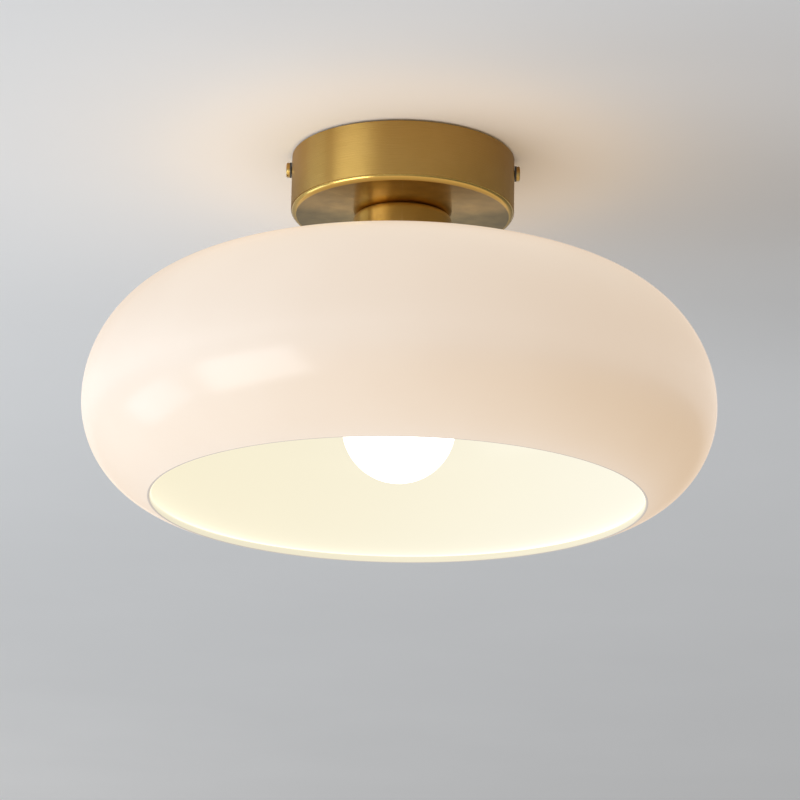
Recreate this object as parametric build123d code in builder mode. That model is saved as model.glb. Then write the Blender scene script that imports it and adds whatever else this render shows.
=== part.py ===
from build123d import *
from math import asin, atan2, degrees, pi, sqrt
import os

# Semi-flush ceiling light, hanging below the ceiling plane z = 0 on the Z axis. Millimetres, +Z up.
# The two canopy screws lie on the X axis, and the front is on the -Y side.

# Canopy, a spun brass cup against the ceiling
canopy_diameter = 120.0
canopy_height = 32.4
canopy_wall = 1.0
canopy_edge_radius = 2.8

# Mounting bracket, a bent steel strap that the canopy screws reach into
bracket_width = 22.0
bracket_thickness = 1.5
bracket_bend_radius = 2.5
bracket_to_canopy = 1.6
lug_below_screw = 6.0
lug_corner_radius = 5.0
slot_spacing = 70.0
slot_length = 14.0
slot_width = 4.5

# Canopy screws with their soft washers
canopy_screw_diameter = 4.0
canopy_screw_length = 8.0
canopy_screw_drop = 7.0
screw_head_diameter = 8.0
screw_head_height = 1.9
screw_head_edge = 0.8
washer_diameter = 8.4
washer_thickness = 0.9
washer_to_canopy = 0.2
tapped_clearance = 0.07
screw_hole_clearance = 0.4

# Earth screw in the strap
earth_screw_diameter = 4.0
earth_head_diameter = 7.0
earth_head_height = 2.4

# Terminal block under the strap
pole_count = 3
pole_pitch = 9.0
block_end_margin = 5.0
block_width = 16.5
block_height = 13.0
block_corner_radius = 1.0
tube_diameter = 5.4
tube_bore = 3.2
tube_length = 13.0
tube_clearance = 0.05
terminal_screw_diameter = 3.0
terminal_screw_spread = 8.0
terminal_screw_recess = 0.8
terminal_screw_clearance = 0.15
block_screw_diameter = 3.0
block_screw_head_diameter = 5.0
block_screw_head_height = 1.8
block_screw_clearance = 0.1

# Leads from the block to the lampholder, and the earth tag on the canopy floor
lead_diameter = 2.2
lead_clearance = 0.2
lead_stripped = 5.0
lead_loop_reach = 24.0
lead_loop_radius = 5.0
lead_above_nipple = 4.0
lead_spacing = 3.0
lead_spread_radius = 5.0
earth_loop_reach = 34.0
earth_loop_radius = 10.0
tag_diameter = 17.0
tag_thickness = 0.8
tag_tongue_width = 4.0
barrel_diameter = 3.8
barrel_start = 13.0
barrel_length = 7.0
barrel_clearance = 0.15

# Threaded nipple that ties canopy, neck and lampholder together
nipple_diameter = 10.0
nipple_bore = 7.6
nipple_above_nut = 2.8
nipple_below_boss = 2.4
nipple_hole_clearance = 0.3
nut_across_flats = 17.0
nut_height = 4.5
nut_chamfer = 0.6
lock_washer_diameter = 18.0
lock_washer_thickness = 0.8

# Neck, a short brass cup below the canopy
neck_height = 24.0
neck_wall = 1.2
neck_edge_radius = 4.0
neck_side_gap = 2.5

# Lamp: screw cap, housing and globe
lamp_length = 108.0
lamp_cap_diameter = 26.2
lamp_cap_wall = 0.5
lamp_cap_length = 26.0
lamp_cap_nose = 1.6
tip_diameter = 9.2
tip_height = 1.6
tip_crown = 0.9
insulator_height = 4.0
insulator_plug = 1.0
insulator_clearance = 0.6
globe_diameter = 60.0
globe_wall = 1.2
globe_edge_rise = 18.0
housing_neck_diameter = 28.0
housing_wall = 2.0
board_thickness = 1.6
board_clearance = 0.3
led_count = 8
led_size = 3.0
led_height = 0.8
led_circle_diameter = 28.0
driver_width = 15.0
driver_thickness = 1.6
driver_height = 24.0
driver_coil_size = 8.0
driver_coil_depth = 5.0
capacitor_diameter = 6.0
capacitor_height = 10.0

# Lampholder, from its screw shell outwards
shell_clearance = 0.35
shell_wall = 0.5
shell_flange = 1.35
shell_side_gap = 0.3
shell_end_gap = 1.0
insert_ledge = 1.6
insert_clearance = 0.2
insert_below_cap = 1.0
skirt_wall = 2.5
skirt_lip_height = 2.0
skirt_lip_clearance = 1.3
collar_step = 1.15
collar_height = 6.0
collar_below_cap = 0.6
holder_thread_clearance = 0.15
holder_cap_wall = 2.0
holder_cap_above_neck_rim = 3.4
boss_diameter = 18.0
boss_height = 4.0
boss_thread_height = 8.0
grub_diameter = 3.0
grub_drop = 2.2
lamp_engagement = 25.0
contact_rise = 4.0
contact_width = 6.0
contact_thickness = 0.4
contact_to_tip = 0.25
contact_foot = 6.0
contact_reach = 11.0
contact_pad = 3.5
holder_screw_diameter = 3.0
holder_screw_head_diameter = 4.6
holder_screw_head_height = 1.4
holder_screw_depth = 5.0
holder_screw_offset = 5.5
holder_pole_spacing = 18.0
holder_lead_depth = 6.0

# Glass shade: flat seat, crown, shoulder and undercurve
shade_diameter = 335.4
crown_radius = 364.0
shoulder_radius = 66.8
undercurve_radius = 54.2
undercurve_angle = 72.4
glass_wall = 3.5
glass_rim_radius = 1.5
glass_hole_clearance = 1.3
glass_seat_margin = 2.3

# Gaskets and the shade ring on the lampholder's thread
gasket_thickness = 1.0
gasket_margin = 0.5
ring_height = 9.0
ring_flange_lap = 6.5
ring_flange_thickness = 2.2
ring_collar_wall = 3.6
ring_thread_clearance = 0.3
ring_notch_count = 12
ring_notch_radius = 1.4
spare_thread = 26.1

# Radii worked out from the lamp cap to the neck
cap_r = lamp_cap_diameter / 2
shell_r = cap_r + shell_clearance
shell_outer_r = shell_r + shell_wall
flange_r = shell_outer_r + shell_flange
shell_space_r = flange_r + shell_side_gap
insert_space_r = shell_space_r + insert_ledge
insert_r = insert_space_r - insert_clearance
skirt_r = insert_space_r + skirt_wall
collar_r = skirt_r + collar_step
holder_cap_bore_r = collar_r + holder_thread_clearance
holder_cap_r = holder_cap_bore_r + holder_cap_wall
neck_r = holder_cap_r + neck_side_gap + neck_wall
nipple_r = nipple_diameter / 2
nipple_hole_r = nipple_r + nipple_hole_clearance
nipple_thread_r = nipple_r + tapped_clearance
glass_hole_r = skirt_r + glass_hole_clearance
seat_r = neck_r + glass_seat_margin
ring_r = skirt_r + ring_thread_clearance
ring_flange_r = glass_hole_r + ring_flange_lap
canopy_r = canopy_diameter / 2
lug_x = canopy_r - canopy_wall - bracket_to_canopy

# Heights worked out downwards from the ceiling
canopy_floor = canopy_wall - canopy_height
tag_top = canopy_floor + tag_thickness
lock_washer_top = tag_top + lock_washer_thickness
nut_top = lock_washer_top + nut_height
nipple_top = nut_top + nipple_above_nut
neck_top = -canopy_height
boss_top = neck_top - neck_wall
nipple_bottom = boss_top - boss_thread_height - nipple_below_boss
neck_bottom = neck_top - neck_height
holder_cap_bottom = neck_bottom + holder_cap_above_neck_rim
collar_top = holder_cap_bottom + collar_height
seat_z = neck_bottom - gasket_thickness
glass_under = seat_z - glass_wall
ring_top = glass_under - gasket_thickness
ring_bottom = ring_top - ring_height
mouth_z = ring_bottom - spare_thread
tip_z = mouth_z + lamp_engagement
insert_bottom = tip_z + contact_rise
insert_top = holder_cap_bottom - insert_below_cap
lug_bottom = -canopy_screw_drop - lug_below_screw
block_bottom = -bracket_thickness - block_height
tunnel_z = -bracket_thickness - block_height / 2


def revolved(outline):
    """Turn a closed outline of (radius, height) points round the Z axis."""
    with BuildPart() as turned:
        with BuildSketch(Plane.XZ):
            with BuildLine():
                Polyline(*outline, close=True)
            make_face()
        revolve(axis=Axis.Z)
    return turned.part


def keep(piece, name):
    """Label a finished piece and write it to its own file."""
    piece.label = name
    export_step(piece, f"parts/{name}.step")


os.makedirs("parts", exist_ok=True)

# Mounting bracket: strap with two turned-down lugs, slots for the ceiling screws and tapped holes
block_length = (pole_count - 1) * pole_pitch + 2 * block_end_margin
earth_screw_x = (block_length / 2 + slot_spacing / 2 - slot_length / 2) / 2
block_screw_x = pole_pitch / 2
lug_hole_place = Location((lug_x, 0, -canopy_screw_drop), (0, 90, 0))

with BuildPart() as mounting_bracket:
    with BuildSketch(Plane.XZ):
        with BuildLine():
            FilletPolyline(
                (-lug_x, lug_bottom),
                (-lug_x, 0),
                (lug_x, 0),
                (lug_x, lug_bottom),
                radius=bracket_bend_radius,
            )
            offset(amount=bracket_thickness, side=Side.RIGHT)
        make_face()
    extrude(amount=bracket_width / 2, both=True)
    lug_corners = mounting_bracket.edges().filter_by(Axis.X).group_by(Axis.Z)[0]
    fillet(lug_corners, radius=lug_corner_radius)
    with BuildSketch(Plane.XY):
        with GridLocations(slot_spacing, 0, 2, 1):
            SlotOverall(slot_length, slot_width)
    extrude(amount=-bracket_thickness, mode=Mode.SUBTRACT)
    with Locations((earth_screw_x, 0, 0)):
        Hole(earth_screw_diameter / 2 + tapped_clearance, depth=bracket_thickness)
    with Locations((block_screw_x, 0, 0)):
        Hole(block_screw_diameter / 2 + tapped_clearance, depth=bracket_thickness)
    with Locations(lug_hole_place):
        Hole(canopy_screw_diameter / 2 + tapped_clearance, depth=2 * lug_x)
keep(mounting_bracket.part, "mounting_bracket")

with BuildPart() as earth_screw:
    with BuildSketch(Plane.XY.offset(-bracket_thickness)):
        with Locations((earth_screw_x, 0)):
            Circle(earth_head_diameter / 2)
    extrude(amount=-earth_head_height)
    fillet(earth_screw.edges().group_by(Axis.Z)[0], radius=screw_head_edge)
    with BuildSketch(Plane.XY.offset(-bracket_thickness)):
        with Locations((earth_screw_x, 0)):
            Circle(earth_screw_diameter / 2)
    extrude(amount=bracket_thickness)
keep(earth_screw.part, "earth_screw")

# Terminal block: moulded body, brass tubes, clamp screws and the screw that holds it to the strap
with BuildPart() as terminal_block:
    with Locations((0, 0, -bracket_thickness)):
        Box(block_length, block_width, block_height, align=(Align.CENTER, Align.CENTER, Align.MAX))
    fillet(terminal_block.edges().filter_by(Axis.Z), radius=block_corner_radius)
    with BuildSketch(Plane.XZ):
        with Locations((0, tunnel_z)):
            with GridLocations(pole_pitch, 0, pole_count, 1):
                Circle(tube_diameter / 2 + tube_clearance)
    extrude(amount=block_width / 2, both=True, mode=Mode.SUBTRACT)
    with BuildSketch(Plane.XY.offset(block_bottom)):
        with GridLocations(pole_pitch, terminal_screw_spread, pole_count, 2):
            Circle(terminal_screw_diameter / 2 + terminal_screw_clearance)
    extrude(amount=tunnel_z - block_bottom, mode=Mode.SUBTRACT)
    with BuildSketch(Plane.XY.offset(block_bottom)):
        with Locations((block_screw_x, 0)):
            Circle(block_screw_head_diameter / 2 + block_screw_clearance)
    extrude(amount=block_screw_head_height, mode=Mode.SUBTRACT)
    with BuildSketch(Plane.XY.offset(block_bottom)):
        with Locations((block_screw_x, 0)):
            Circle(block_screw_diameter / 2 + block_screw_clearance)
    extrude(amount=block_height, mode=Mode.SUBTRACT)
keep(terminal_block.part, "terminal_block")

with BuildPart() as terminal_tubes:
    with BuildSketch(Plane.XZ):
        with Locations((0, tunnel_z)):
            with GridLocations(pole_pitch, 0, pole_count, 1):
                Circle(tube_diameter / 2)
                Circle(tube_bore / 2, mode=Mode.SUBTRACT)
    extrude(amount=tube_length / 2, both=True)
    with BuildSketch(Plane.XY.offset(block_bottom)):
        with GridLocations(pole_pitch, terminal_screw_spread, pole_count, 2):
            Circle(terminal_screw_diameter / 2 + tapped_clearance)
    extrude(amount=tunnel_z - block_bottom, mode=Mode.SUBTRACT)
keep(terminal_tubes.part, "terminal_tubes")

clamp_tip = tunnel_z - lead_diameter / 2 - tapped_clearance
with BuildPart() as terminal_screws:
    with BuildSketch(Plane.XY.offset(block_bottom + terminal_screw_recess)):
        with GridLocations(pole_pitch, terminal_screw_spread, pole_count, 2):
            Circle(terminal_screw_diameter / 2)
    extrude(amount=clamp_tip - block_bottom - terminal_screw_recess)
keep(terminal_screws.part, "terminal_screws")

with BuildPart() as block_screw:
    with BuildSketch(Plane.XY.offset(block_bottom)):
        with Locations((block_screw_x, 0)):
            Circle(block_screw_head_diameter / 2)
    extrude(amount=block_screw_head_height)
    with BuildSketch(Plane.XY.offset(block_bottom)):
        with Locations((block_screw_x, 0)):
            Circle(block_screw_diameter / 2)
    extrude(amount=block_height + bracket_thickness)
keep(block_screw.part, "block_screw")

# Leads: straight runs joined by arcs, from the block's tubes to the lampholder and the earth tag
tag_lead_z = canopy_floor + barrel_diameter / 2
lead_start_y = -(tube_length / 2 - lead_stripped)


def lead(points, radii, name):
    """Sweep a round lead along runs joined by arcs, and print how its volume compares with its length."""
    with BuildPart() as wire:
        with BuildLine() as route:
            FilletPolyline(*points, radius=radii)
        with BuildSketch(Plane(origin=points[0], z_dir=route.wire() % 0)):
            Circle(lead_diameter / 2)
        sweep()
    expected = pi * lead_diameter**2 / 4 * route.wire().length
    print(f"{name}: bends {radii} mm, volume {wire.part.volume / expected:.5f} of section times length")
    return wire.part


def holder_lead(side):
    """Points of the lead on one side: round under the block, down the nipple, out to its terminal."""
    pole_x = side * pole_pitch * (pole_count - 1) / 2
    nipple_x = side * lead_spacing / 2
    terminal_x = side * holder_pole_spacing / 2
    turn_z = nipple_top + lead_above_nipple
    return [
        (pole_x, lead_start_y, tunnel_z),
        (pole_x, -lead_loop_reach, tunnel_z),
        (pole_x, -lead_loop_reach, turn_z),
        (nipple_x, 0, turn_z),
        (nipple_x, 0, nipple_bottom - lead_clearance),
        (terminal_x, 0, insert_top + lead_diameter),
        (terminal_x, 0, insert_top - holder_lead_depth),
    ]


holder_bends = [lead_loop_radius] * 2 + [lead_above_nipple] + [lead_spread_radius] * 2
keep(lead(holder_lead(1), holder_bends, "live_lead"), "live_lead")
keep(lead(holder_lead(-1), holder_bends, "neutral_lead"), "neutral_lead")

earth_points = [
    (0, lead_start_y, tunnel_z),
    (0, -earth_loop_reach, tunnel_z),
    (0, -earth_loop_reach, tag_lead_z),
    (0, -barrel_start - lead_clearance, tag_lead_z),
]
keep(lead(earth_points, [earth_loop_radius] * 2, "earth_lead"), "earth_lead")

with BuildPart() as earth_tag:
    with BuildSketch(Plane.XY.offset(canopy_floor)):
        Circle(tag_diameter / 2)
        with Locations((0, -barrel_start / 2)):
            Rectangle(tag_tongue_width, barrel_start)
        Circle(nipple_hole_r, mode=Mode.SUBTRACT)
    extrude(amount=tag_thickness)
    with BuildSketch(Plane.XZ.offset(barrel_start)):
        with Locations((0, tag_lead_z)):
            Circle(barrel_diameter / 2)
            Circle(lead_diameter / 2 + barrel_clearance, mode=Mode.SUBTRACT)
    extrude(amount=barrel_length)
keep(earth_tag.part, "earth_tag")

# Canopy: a cup with a rolled lower edge, a nipple hole and two screw holes
with BuildPart() as canopy:
    with BuildSketch(Plane.XZ):
        with BuildLine():
            FilletPolyline(
                (nipple_hole_r, -canopy_height),
                (canopy_r, -canopy_height),
                (canopy_r, 0),
                radius=canopy_edge_radius,
            )
            offset(amount=canopy_wall, side=Side.LEFT)
        make_face()
    revolve(axis=Axis.Z)
    with Locations(Location((canopy_r, 0, -canopy_screw_drop), (0, 90, 0))):
        Hole(canopy_screw_diameter / 2 + screw_hole_clearance, depth=2 * canopy_r)
keep(canopy.part, "canopy")

# Canopy screws and washers, one pair on each side
washer_seat = canopy_r + washer_to_canopy
screw_seat = washer_seat + washer_thickness
for side_name, outward in (("left", -1), ("right", 1)):
    seat_plane = Plane(origin=(0, 0, -canopy_screw_drop), x_dir=(0, 1, 0), z_dir=(outward, 0, 0))
    with BuildPart() as canopy_washer:
        with BuildSketch(seat_plane.offset(washer_seat)):
            Circle(washer_diameter / 2)
            Circle(canopy_screw_diameter / 2 + tapped_clearance, mode=Mode.SUBTRACT)
        extrude(amount=washer_thickness)
    keep(canopy_washer.part, f"canopy_washer_{side_name}")

    with BuildPart() as canopy_screw:
        with BuildSketch(seat_plane.offset(screw_seat)):
            Circle(screw_head_diameter / 2)
        extrude(amount=screw_head_height)
        head_edge = canopy_screw.edges().sort_by(Axis.X)[-1 if outward > 0 else 0]
        fillet(head_edge, radius=screw_head_edge)
        with BuildSketch(seat_plane.offset(screw_seat)):
            Circle(canopy_screw_diameter / 2)
        extrude(amount=-canopy_screw_length)
    keep(canopy_screw.part, f"canopy_screw_{side_name}")

# Nipple, its nut and its lock washer on the canopy floor
with BuildPart() as threaded_nipple:
    with BuildSketch(Plane.XY.offset(nipple_bottom)):
        Circle(nipple_r)
        Circle(nipple_bore / 2, mode=Mode.SUBTRACT)
    extrude(amount=nipple_top - nipple_bottom)
keep(threaded_nipple.part, "threaded_nipple")

with BuildPart() as lock_washer:
    with BuildSketch(Plane.XY.offset(tag_top)):
        Circle(lock_washer_diameter / 2)
        Circle(nipple_hole_r, mode=Mode.SUBTRACT)
    extrude(amount=lock_washer_thickness)
keep(lock_washer.part, "lock_washer")

with BuildPart() as nipple_nut:
    with BuildSketch(Plane.XY.offset(lock_washer_top)):
        RegularPolygon(radius=nut_across_flats / 2, side_count=6, major_radius=False)
        Circle(nipple_thread_r, mode=Mode.SUBTRACT)
    extrude(amount=nut_height)
    nut_edges = nipple_nut.edges().group_by(Axis.Z)[-1].filter_by(GeomType.LINE)
    chamfer(nut_edges, length=nut_chamfer)
keep(nipple_nut.part, "nipple_nut")

# Neck: a cup with its closed end against the canopy
with BuildPart() as neck:
    with BuildSketch(Plane.XZ):
        with BuildLine():
            FilletPolyline(
                (nipple_hole_r, neck_top),
                (neck_r, neck_top),
                (neck_r, neck_bottom),
                radius=neck_edge_radius,
            )
            offset(amount=neck_wall, side=Side.RIGHT)
        make_face()
    revolve(axis=Axis.Z)
keep(neck.part, "neck")

with BuildPart() as neck_gasket:
    with BuildSketch(Plane.XY.offset(seat_z)):
        Circle(neck_r)
        Circle(glass_hole_r + gasket_margin, mode=Mode.SUBTRACT)
    extrude(amount=gasket_thickness)
keep(neck_gasket.part, "neck_gasket")

# Lampholder cap: a boss on the nipple that opens out to a threaded rim
dome_bottom = collar_top + holder_cap_wall
holder_cap_outline = [
    (nipple_thread_r, boss_top),
    (boss_diameter / 2, boss_top),
    (boss_diameter / 2, boss_top - boss_height),
    (holder_cap_r, dome_bottom),
    (holder_cap_r, holder_cap_bottom),
    (holder_cap_bore_r, holder_cap_bottom),
    (holder_cap_bore_r, collar_top + holder_thread_clearance),
    (nipple_thread_r, boss_top - boss_thread_height),
]
with BuildPart() as holder_cap:
    add(revolved(holder_cap_outline))
    with Locations(Location((0, boss_diameter / 2, boss_top - grub_drop), (-90, 0, 0))):
        Hole(grub_diameter / 2 + tapped_clearance, depth=boss_diameter / 2)
keep(holder_cap.part, "holder_cap")

with BuildPart() as holder_grub_screw:
    with BuildSketch(Plane.XZ.offset(-nipple_thread_r)):
        with Locations((0, boss_top - grub_drop)):
            Circle(grub_diameter / 2)
    extrude(amount=nipple_thread_r - boss_diameter / 2)
keep(holder_grub_screw.part, "holder_grub_screw")

# Lampholder skirt: collar in the cap, outer thread for the ring, ledge for the insert, lip at the mouth
lip_r = cap_r + skirt_lip_clearance
holder_skirt = revolved([
    (insert_space_r, collar_top),
    (collar_r, collar_top),
    (collar_r, holder_cap_bottom - collar_below_cap),
    (skirt_r, holder_cap_bottom - collar_below_cap),
    (skirt_r, mouth_z),
    (lip_r, mouth_z),
    (lip_r, mouth_z + skirt_lip_height),
    (shell_space_r, mouth_z + skirt_lip_height),
    (shell_space_r, insert_bottom),
    (insert_space_r, insert_bottom),
])
keep(holder_skirt, "holder_skirt")

# Lampholder insert with its lead holes and clamp screws
with BuildPart() as holder_insert:
    with BuildSketch(Plane.XY.offset(insert_bottom)):
        Circle(insert_r)
    extrude(amount=insert_top - insert_bottom)
    with Locations((0, 0, insert_top)):
        with GridLocations(holder_pole_spacing, 0, 2, 1):
            Hole(lead_diameter / 2 + lead_clearance, depth=holder_lead_depth + lead_clearance)
        with Locations((0, holder_screw_offset)):
            with GridLocations(holder_pole_spacing, 0, 2, 1):
                Hole(holder_screw_diameter / 2 + tapped_clearance, depth=holder_screw_depth)
keep(holder_insert.part, "holder_insert")

with BuildPart() as holder_screws:
    with BuildSketch(Plane.XY.offset(insert_top)):
        with Locations((0, holder_screw_offset)):
            with GridLocations(holder_pole_spacing, 0, 2, 1):
                Circle(holder_screw_head_diameter / 2)
    extrude(amount=holder_screw_head_height)
    with BuildSketch(Plane.XY.offset(insert_top)):
        with Locations((0, holder_screw_offset)):
            with GridLocations(holder_pole_spacing, 0, 2, 1):
                Circle(holder_screw_diameter / 2)
    extrude(amount=-holder_screw_depth)
keep(holder_screws.part, "holder_screws")

# Screw shell and the sprung centre contact under the insert
shell_bottom = mouth_z + skirt_lip_height + shell_end_gap
screw_shell = revolved([
    (shell_r, insert_bottom),
    (flange_r, insert_bottom),
    (flange_r, insert_bottom - shell_wall),
    (shell_outer_r, insert_bottom - shell_wall),
    (shell_outer_r, shell_bottom),
    (shell_r, shell_bottom),
])
keep(screw_shell, "screw_shell")

contact_foot_z = insert_bottom - contact_thickness
contact_pad_z = tip_z + contact_to_tip
with BuildPart() as centre_contact:
    with BuildSketch(Plane.XZ):
        with BuildLine():
            Polyline(
                (-contact_reach, contact_foot_z),
                (contact_foot - contact_reach, contact_foot_z),
                (-contact_pad, contact_pad_z),
                (contact_pad, contact_pad_z),
                (contact_pad, contact_pad_z + contact_thickness),
                (-contact_pad, contact_pad_z + contact_thickness),
                (contact_foot - contact_reach, insert_bottom),
                (-contact_reach, insert_bottom),
                close=True,
            )
        make_face()
    extrude(amount=contact_width / 2, both=True)
keep(centre_contact.part, "centre_contact")

# Glass shade: one wall of even thickness along a flat seat and three tangent arcs
shade_r = shade_diameter / 2
crown_centre_z = seat_z - sqrt(crown_radius**2 - seat_r**2)
shoulder_x = shade_r - shoulder_radius
undercurve_x = shade_r - undercurve_radius
equator_z = crown_centre_z + sqrt((crown_radius - shoulder_radius) ** 2 - shoulder_x**2)
crown_end = degrees(atan2(equator_z - crown_centre_z, shoulder_x))


def shade_line(inset):
    """Draw the shade's profile, set in from the outer face: seat, crown, shoulder and undercurve."""
    height = seat_z - inset
    crown = crown_radius - inset
    crown_x = sqrt(crown**2 - (height - crown_centre_z) ** 2)
    crown_start = 90 - degrees(asin(crown_x / crown))
    Line((glass_hole_r, height), (crown_x, height))
    CenterArc((0, crown_centre_z), crown, crown_start, crown_end - crown_start)
    CenterArc((shoulder_x, equator_z), shoulder_radius - inset, crown_end, -crown_end)
    return CenterArc((undercurve_x, equator_z), undercurve_radius - inset, 0, -undercurve_angle)


with BuildPart() as glass_shade:
    with BuildSketch(Plane.XZ):
        with BuildLine():
            outer_end = shade_line(0) @ 1
            inner_end = shade_line(glass_wall) @ 1
            Line(outer_end, inner_end)
            Line((glass_hole_r, seat_z), (glass_hole_r, glass_under))
        make_face()
    revolve(axis=Axis.Z)
    rim_edges = glass_shade.edges().filter_by(GeomType.CIRCLE).group_by(Axis.Z)[0:2]
    fillet([edge for group in rim_edges for edge in group], radius=glass_rim_radius)
keep(glass_shade.part, "glass_shade")

with BuildPart() as shade_gasket:
    with BuildSketch(Plane.XY.offset(ring_top)):
        Circle(ring_flange_r - gasket_margin)
        Circle(glass_hole_r + gasket_margin, mode=Mode.SUBTRACT)
    extrude(amount=gasket_thickness)
keep(shade_gasket.part, "shade_gasket")

# Shade ring: a flange under the glass and a notched collar on the lampholder's thread
ring_collar_r = ring_r + ring_collar_wall
with BuildPart() as shade_ring:
    with BuildSketch(Plane.XY.offset(ring_top)):
        Circle(ring_flange_r)
    extrude(amount=-ring_flange_thickness)
    with BuildSketch(Plane.XY.offset(ring_top)):
        Circle(ring_collar_r)
    extrude(amount=-ring_height)
    with BuildSketch(Plane.XY.offset(ring_bottom)):
        with PolarLocations(ring_collar_r, ring_notch_count):
            Circle(ring_notch_radius)
    extrude(amount=ring_height - ring_flange_thickness, mode=Mode.SUBTRACT)
    with Locations((0, 0, ring_top)):
        Hole(ring_r, depth=ring_height)
keep(shade_ring.part, "shade_ring")

# Lamp, from its tip contact down to its globe
tip_r = tip_diameter / 2
tip_edge_z = tip_z - tip_crown
tip_base = tip_z - tip_height
insulator_base = tip_base - insulator_height
cap_end = tip_z - lamp_cap_length
globe_r = globe_diameter / 2
globe_centre_z = tip_z - lamp_length + globe_r
globe_edge_z = globe_centre_z + globe_edge_rise
globe_edge_r = sqrt(globe_r**2 - globe_edge_rise**2)
globe_inner_r = globe_r - globe_wall
globe_inner_edge_r = sqrt(globe_inner_r**2 - globe_edge_rise**2)

with BuildPart() as lamp_tip:
    with BuildSketch(Plane.XZ):
        with BuildLine():
            ThreePointArc((0, tip_z), (tip_r / 2, tip_z - tip_crown / 4), (tip_r, tip_edge_z))
            Polyline((tip_r, tip_edge_z), (tip_r, tip_base), (0, tip_base), (0, tip_z))
        make_face()
    revolve(axis=Axis.Z)
keep(lamp_tip.part, "lamp_tip")

nose_r = cap_r - lamp_cap_nose
insulator_r = nose_r - insulator_clearance
lamp_insulator = revolved([
    (0, tip_base),
    (tip_r, tip_base),
    (insulator_r, insulator_base),
    (insulator_r, insulator_base - insulator_plug),
    (0, insulator_base - insulator_plug),
])
keep(lamp_insulator, "lamp_insulator")

with BuildPart() as lamp_screw_cap:
    with BuildSketch(Plane.XZ):
        with BuildLine():
            Polyline((nose_r, insulator_base), (cap_r, insulator_base - lamp_cap_nose), (cap_r, cap_end))
            offset(amount=lamp_cap_wall, side=Side.RIGHT)
        make_face()
    revolve(axis=Axis.Z)
keep(lamp_screw_cap.part, "lamp_screw_cap")

# The housing flares so that it meets the globe along the globe's own tangent
housing_neck_r = housing_neck_diameter / 2
housing_neck_bore_r = housing_neck_r - housing_wall
housing_edge_bore_r = globe_edge_r - housing_wall
edge_tangent = (-globe_edge_rise / globe_r, globe_edge_r / globe_r)
with BuildPart() as lamp_housing:
    with BuildSketch(Plane.XZ):
        with BuildLine():
            TangentArc((globe_edge_r, globe_edge_z), (housing_neck_r, cap_end), tangent=edge_tangent)
            Line((housing_neck_r, cap_end), (housing_neck_bore_r, cap_end))
            TangentArc(
                (housing_edge_bore_r, globe_edge_z),
                (housing_neck_bore_r, cap_end),
                tangent=edge_tangent,
            )
            Line((housing_edge_bore_r, globe_edge_z), (globe_edge_r, globe_edge_z))
        make_face()
    revolve(axis=Axis.Z)
keep(lamp_housing.part, "lamp_housing")

with BuildPart() as lamp_globe:
    with BuildSketch(Plane.XZ):
        with BuildLine():
            outer_edge = degrees(asin(globe_edge_rise / globe_r))
            inner_edge = degrees(asin(globe_edge_rise / globe_inner_r))
            CenterArc((0, globe_centre_z), globe_r, -90, 90 + outer_edge)
            Line((globe_edge_r, globe_edge_z), (globe_inner_edge_r, globe_edge_z))
            CenterArc((0, globe_centre_z), globe_inner_r, -90, 90 + inner_edge)
            Line((0, globe_centre_z - globe_inner_r), (0, globe_centre_z - globe_r))
        make_face()
    revolve(axis=Axis.Z)
keep(lamp_globe.part, "lamp_globe")

board_bottom = globe_edge_z - board_thickness
with BuildPart() as lamp_board:
    with BuildSketch(Plane.XY.offset(board_bottom)):
        Circle(globe_inner_edge_r - board_clearance)
    extrude(amount=board_thickness)
keep(lamp_board.part, "lamp_board")

with BuildPart() as lamp_leds:
    with BuildSketch(Plane.XY.offset(board_bottom)):
        with PolarLocations(led_circle_diameter / 2, led_count):
            Rectangle(led_size, led_size)
    extrude(amount=-led_height)
keep(lamp_leds.part, "lamp_leds")

driver_face_y = driver_thickness / 2
driver_parts_z = globe_edge_z + driver_height / 3
coil_seat = (Align.CENTER, Align.MAX, Align.CENTER)
with BuildPart() as lamp_driver:
    with Locations((0, 0, globe_edge_z)):
        Box(driver_width, driver_thickness, driver_height, align=(Align.CENTER, Align.CENTER, Align.MIN))
    with Locations((0, -driver_face_y, driver_parts_z)):
        Box(driver_coil_size, driver_coil_depth, driver_coil_size, align=coil_seat)
    with Locations((0, driver_face_y + capacitor_diameter / 4, driver_parts_z)):
        Cylinder(capacitor_diameter / 2, capacitor_height)
keep(lamp_driver.part, "lamp_driver")
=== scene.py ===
import logging
import math
from dataclasses import dataclass, field
from enum import Enum
from typing import Optional, Sequence, Union

import bmesh
import bpy
from mathutils import Matrix, Vector


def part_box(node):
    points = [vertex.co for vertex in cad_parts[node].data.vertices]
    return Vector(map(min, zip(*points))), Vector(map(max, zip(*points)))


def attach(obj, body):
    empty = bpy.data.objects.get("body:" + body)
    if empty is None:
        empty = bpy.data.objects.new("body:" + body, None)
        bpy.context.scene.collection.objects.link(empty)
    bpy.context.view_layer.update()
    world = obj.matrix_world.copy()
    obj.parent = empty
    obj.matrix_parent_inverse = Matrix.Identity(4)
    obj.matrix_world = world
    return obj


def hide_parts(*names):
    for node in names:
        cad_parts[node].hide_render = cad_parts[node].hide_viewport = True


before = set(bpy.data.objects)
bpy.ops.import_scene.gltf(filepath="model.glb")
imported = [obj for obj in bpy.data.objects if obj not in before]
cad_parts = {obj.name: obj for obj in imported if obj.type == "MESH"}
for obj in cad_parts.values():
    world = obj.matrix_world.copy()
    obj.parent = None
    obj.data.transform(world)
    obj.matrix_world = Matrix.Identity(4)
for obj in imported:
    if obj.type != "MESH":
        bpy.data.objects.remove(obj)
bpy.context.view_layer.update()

# Looks of a semi-flush ceiling light: brass canopy and neck, open opal shade, lampholder and lit lamp.
# Metres, +Z up, the ceiling plane at z = 0 and the light's axis on Z.

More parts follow.
